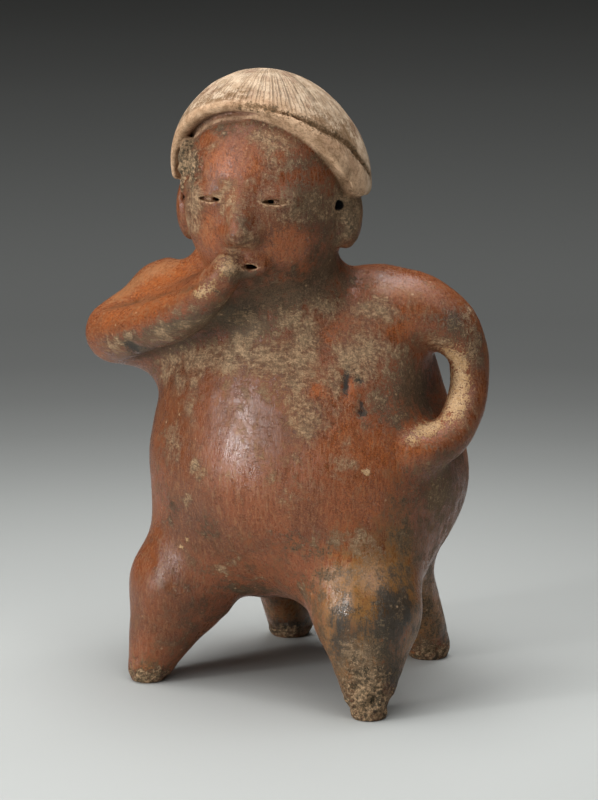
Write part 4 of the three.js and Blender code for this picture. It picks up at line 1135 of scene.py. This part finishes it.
def lay_breaks(t, coat):
    """Painted shade in the forearm's fold, chips, bare clay, slit rims and crumbled tips. Gives where clay is
    bare or crumbled.
    """
    # Painted shade along the fold between the right forearm and the shoulder.
    coat.lay(t.mask("crease_and_shade") * 0.6, DIRT)
    coat.lay(t.cover(t.mask("dent"), t.spread(grain=1.5, blotch=1.0), 0.3, 0.55) * 0.8, SMOKE)
    bare = t.cover(t.mask("bare"), t.gritty, 0.45, 0.75)
    clay = Coat(t, BARE_PALE)
    clay.lay(t.ramp(t.gritty, -0.2, 0.4), BARE)
    clay.lay(t.ramp(t.speck, 0.48, 0.36, 0.6), CRUST_DARK)
    coat.lay(bare * 0.9, clay.colour)
    coat.lay(t.cover(t.mask("slit"), t.gritty, 0.75, 1.15) * 0.7, CRUST)
    crumble = t.cover(t.mask("crumble"), t.gritty, 0.35, 0.7)
    broken = Coat(t, CRUST_GREY)
    broken.lay(t.ramp(t.rubble, 0.44, 0.56), DIRT)
    broken.lay(t.ramp(t.grain, 0.52, 0.6, 0.8), CRUST)
    broken.lay(t.ramp(t.grain, 0.45, 0.38, 0.9), SMOKE)
    coat.lay(crumble * 0.85, broken.colour)
    return bare, crumble


def lay_cap(t, coat):
    """Cream clay of the cap, with lines cut from its crown to its rim. Gives where the lines are."""
    lip = t.mask("lip")
    around = cap_angle(t)
    hairs = fine_lines(t, around, t.blotch) * t.ramp(t.patch, 0.34, 0.46) * 0.8
    cut = largest(hairs, shader_deep_lines(t, around) * t.ramp(t.patch, 0.42, 0.54, 0.9, 0.1))
    lines = cut * t.mask("dome") * t.mask("cap") * t.ramp(t.blotch, 0.3, 0.42)
    cream = Coat(t, CAP_PALE)
    cream.lay(t.ramp(t.blotch, 0.42, 0.58), CAP_CREAM)
    cream.lay(t.ramp(t.patch, 0.5, 0.66, 0.6), CAP_ROSE)
    cream.lay(t.ramp(t.gritty, 0.15, 0.7, 0.6), CRUST_GREY)
    cream.lay(t.ramp(t.speck, 0.47, 0.38, 0.35), CRUST_DARK)
    cream.lay(lines * 0.7, CAP_SHADE)
    cream.lay(lip * 0.6, LIP_TAN)
    cream.lay(t.cover(lip * 0.5, t.gritty, 0.3, 0.9) * 0.5, CRUST_DARK)
    # Painted shade on the cap's sides by the rim, laid with the burial film.
    film_and_shade = t.cover(t.mask("film_and_shade"), t.brushed, 0.2, 0.8) * t.ramp(lip, 0.8, 0.2, 1.0, 0.3)
    cream.lay(film_and_shade * 0.75, CRUST_DARK)
    coat.lay(t.mask("cap"), cream.colour)
    groove = t.cover(t.mask("groove") * 0.9, t.gritty, 0.2, 0.9)
    coat.lay(groove * 0.75, t.mix(t.ramp(t.gritty, -0.1, 0.5), CRUST_DARK, DIRT))
    under = t.cover(t.mask("rim") * 0.9, t.gritty, 0.1, 0.7)
    coat.lay(under * 0.6, t.mix(t.ramp(t.gritty, 0.0, 0.5), CAP_ROSE, CRUST_DARK))
    return lines


def make_clay():
    """The figure's one material: colours in layers, then its polish and its fine height."""
    clay = bpy.data.materials.new("slipped_clay")
    t = Clay(clay)
    coat = Coat(t, SLIP_RED)
    lay_slip(t, coat)
    lay_fire(t, coat)
    stain_and_shade, crust = lay_dirt(t, coat)
    bare, crumble = lay_breaks(t, coat)
    lines = lay_cap(t, coat)
    # Painted shade: the holes behind the eye and mouth slits and the ear holes are laid near black.
    coat.lay(t.ramp(t.mask("hole"), 0.3, 0.8), HOLE_SHADE)

    cap, gloss = t.mask("cap"), t.mask("gloss")
    dull = largest(crust, bare, cap, crumble, stain_and_shade * 0.65) * (1.0 - gloss)
    polish = t.ramp(t.streak, 0.4, 0.6, 0.4, 0.24) + t.ramp(t.patch, 0.35, 0.65, 0.08, -0.03) - gloss * 0.18
    height = t.blend(cap, t.streak, 0.5) * (0.5 - gloss * 0.3) + t.blotch * 0.25
    height = height + t.grain * t.blend(dull, 0.12, 1.0) + crust * 0.2 + crumble * t.rubble * 2.5
    height = height - t.ramp(t.cells(7.7), 0.07, 0.03) * 0.4 - t.scratch * 0.15 - lines
    bump = t.add("ShaderNodeBump", "Normal", {"Strength": 0.8, "Distance": BUMP_DISTANCE, "Height": height})
    t.put(t.shader.inputs["Base Color"], coat.colour)
    t.put(t.shader.inputs["Roughness"], t.blend(dull, polish, 0.9))
    t.put(t.shader.inputs["Specular IOR Level"], SHINE)
    t.put(t.shader.inputs["Normal"], bump)
    return clay


def make_figure():
    """The figure's mesh, with its marks as values on its points."""
    heights = grid_axes()
    points, quads = net(sampled(heights), heights)
    points = settled(evened(points, quads))
    points[:, 2] = np.maximum(points[:, 2], 0)
    marks = marks_on(points)
    parts = part_masks(points)
    marks["crumble"] = np.maximum(marks["crumble"], parts.pop("patch"))
    points = worked(points, quads, marks, parts)
    mesh = bpy.data.meshes.new("seated_figure_clay")
    mesh.from_pydata((points * MILLIMETRE).tolist(), [], quads.tolist(), shade_flat=False)
    for name, values in {**marks, **parts}.items():
        mesh.attributes.new(name, "FLOAT", "POINT").data.foreach_set("value", values.astype(np.float32))
    mesh.materials.append(make_clay())
    figure = bpy.data.objects.new("seated_figure_clay", mesh)
    bpy.context.scene.collection.objects.link(figure)
    return figure


def add_floor():
    """A pale floor with a painted pool of light round the figure: its tone changes with the distance from the
    pool's middle.
    """
    material = bpy.data.materials.new("floor")
    t = Tree(material)
    t.put(t.shader.inputs["Roughness"], FLOOR_ROUGHNESS)
    t.put(t.shader.inputs["Specular IOR Level"], FLOOR_SHINE)
    from_pool = t.mapped(move=(-LIGHT_POOL_MIDDLE[0], -LIGHT_POOL_MIDDLE[1], 0))
    length = t.add("ShaderNodeVectorMath", "Value", {0: from_pool}, operation="LENGTH")
    furthest = PAINTED_LIGHT_TONES[-1][0]
    painted_falloff = t.add("ShaderNodeValToRGB", "Color", {"Fac": t.math("DIVIDE", length, furthest)})
    stops = painted_falloff.socket.node.color_ramp.elements
    while len(stops) < len(PAINTED_LIGHT_TONES):
        stops.new(0.5)
    for stop, (reach, tone) in zip(stops, PAINTED_LIGHT_TONES):
        stop.position = reach / furthest
        stop.color = (*(tone * share for share in FLOOR_TINT), 1)
    t.put(t.shader.inputs["Base Color"], painted_falloff)

    corners = [(x * FLOOR_SIZE, y * FLOOR_SIZE, 0) for x, y in ((-1, -1), (1, -1), (1, 1), (-1, 1))]
    mesh = bpy.data.meshes.new("floor")
    mesh.from_pydata(corners, [], [(0, 1, 2, 3)])
    mesh.materials.append(material)
    floor = bpy.data.objects.new("floor", mesh)
    bpy.context.scene.collection.objects.link(floor)


def add_light(name, place, power, width, height):
    light = bpy.data.lights.new(name, "AREA")
    light.energy = power
    light.shape = "RECTANGLE"
    light.size = width
    light.size_y = height
    holder = bpy.data.objects.new(name, light)
    bpy.context.scene.collection.objects.link(holder)
    holder.location = place
    holder.rotation_euler = (Vector(LIGHT_AIM) - Vector(place)).to_track_quat("-Z", "Y").to_euler()


def add_world():
    world = bpy.data.worlds.new("studio")
    bpy.context.scene.world = world
    world.use_nodes = True
    background = world.node_tree.nodes["Background"]
    background.inputs["Color"].default_value = WORLD_COLOUR
    background.inputs["Strength"].default_value = WORLD_STRENGTH


def add_camera():
    place, right, up, back = photo_camera()
    data = bpy.data.cameras.new("camera")
    data.sensor_fit = "VERTICAL"
    data.sensor_height = SENSOR_HEIGHT
    data.sensor_width = SENSOR_HEIGHT
    data.lens = FOCAL_PIXELS / FRAME_HEIGHT * SENSOR_HEIGHT
    data.clip_start = CLIP_NEAR
    data.clip_end = CLIP_FAR
    camera = bpy.data.objects.new("camera", data)
    bpy.context.scene.collection.objects.link(camera)
    rows = [(right[i], up[i], back[i], place[i] * MILLIMETRE) for i in range(3)]
    camera.matrix_world = Matrix((*rows, (0, 0, 0, 1)))
    bpy.context.scene.camera = camera


figure = make_figure()
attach(figure, "root")
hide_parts(NODE)

bpy.context.scene.view_settings.view_transform = "Standard"
add_floor()
for light in LIGHTS:
    add_light(*light)
add_world()
add_camera()
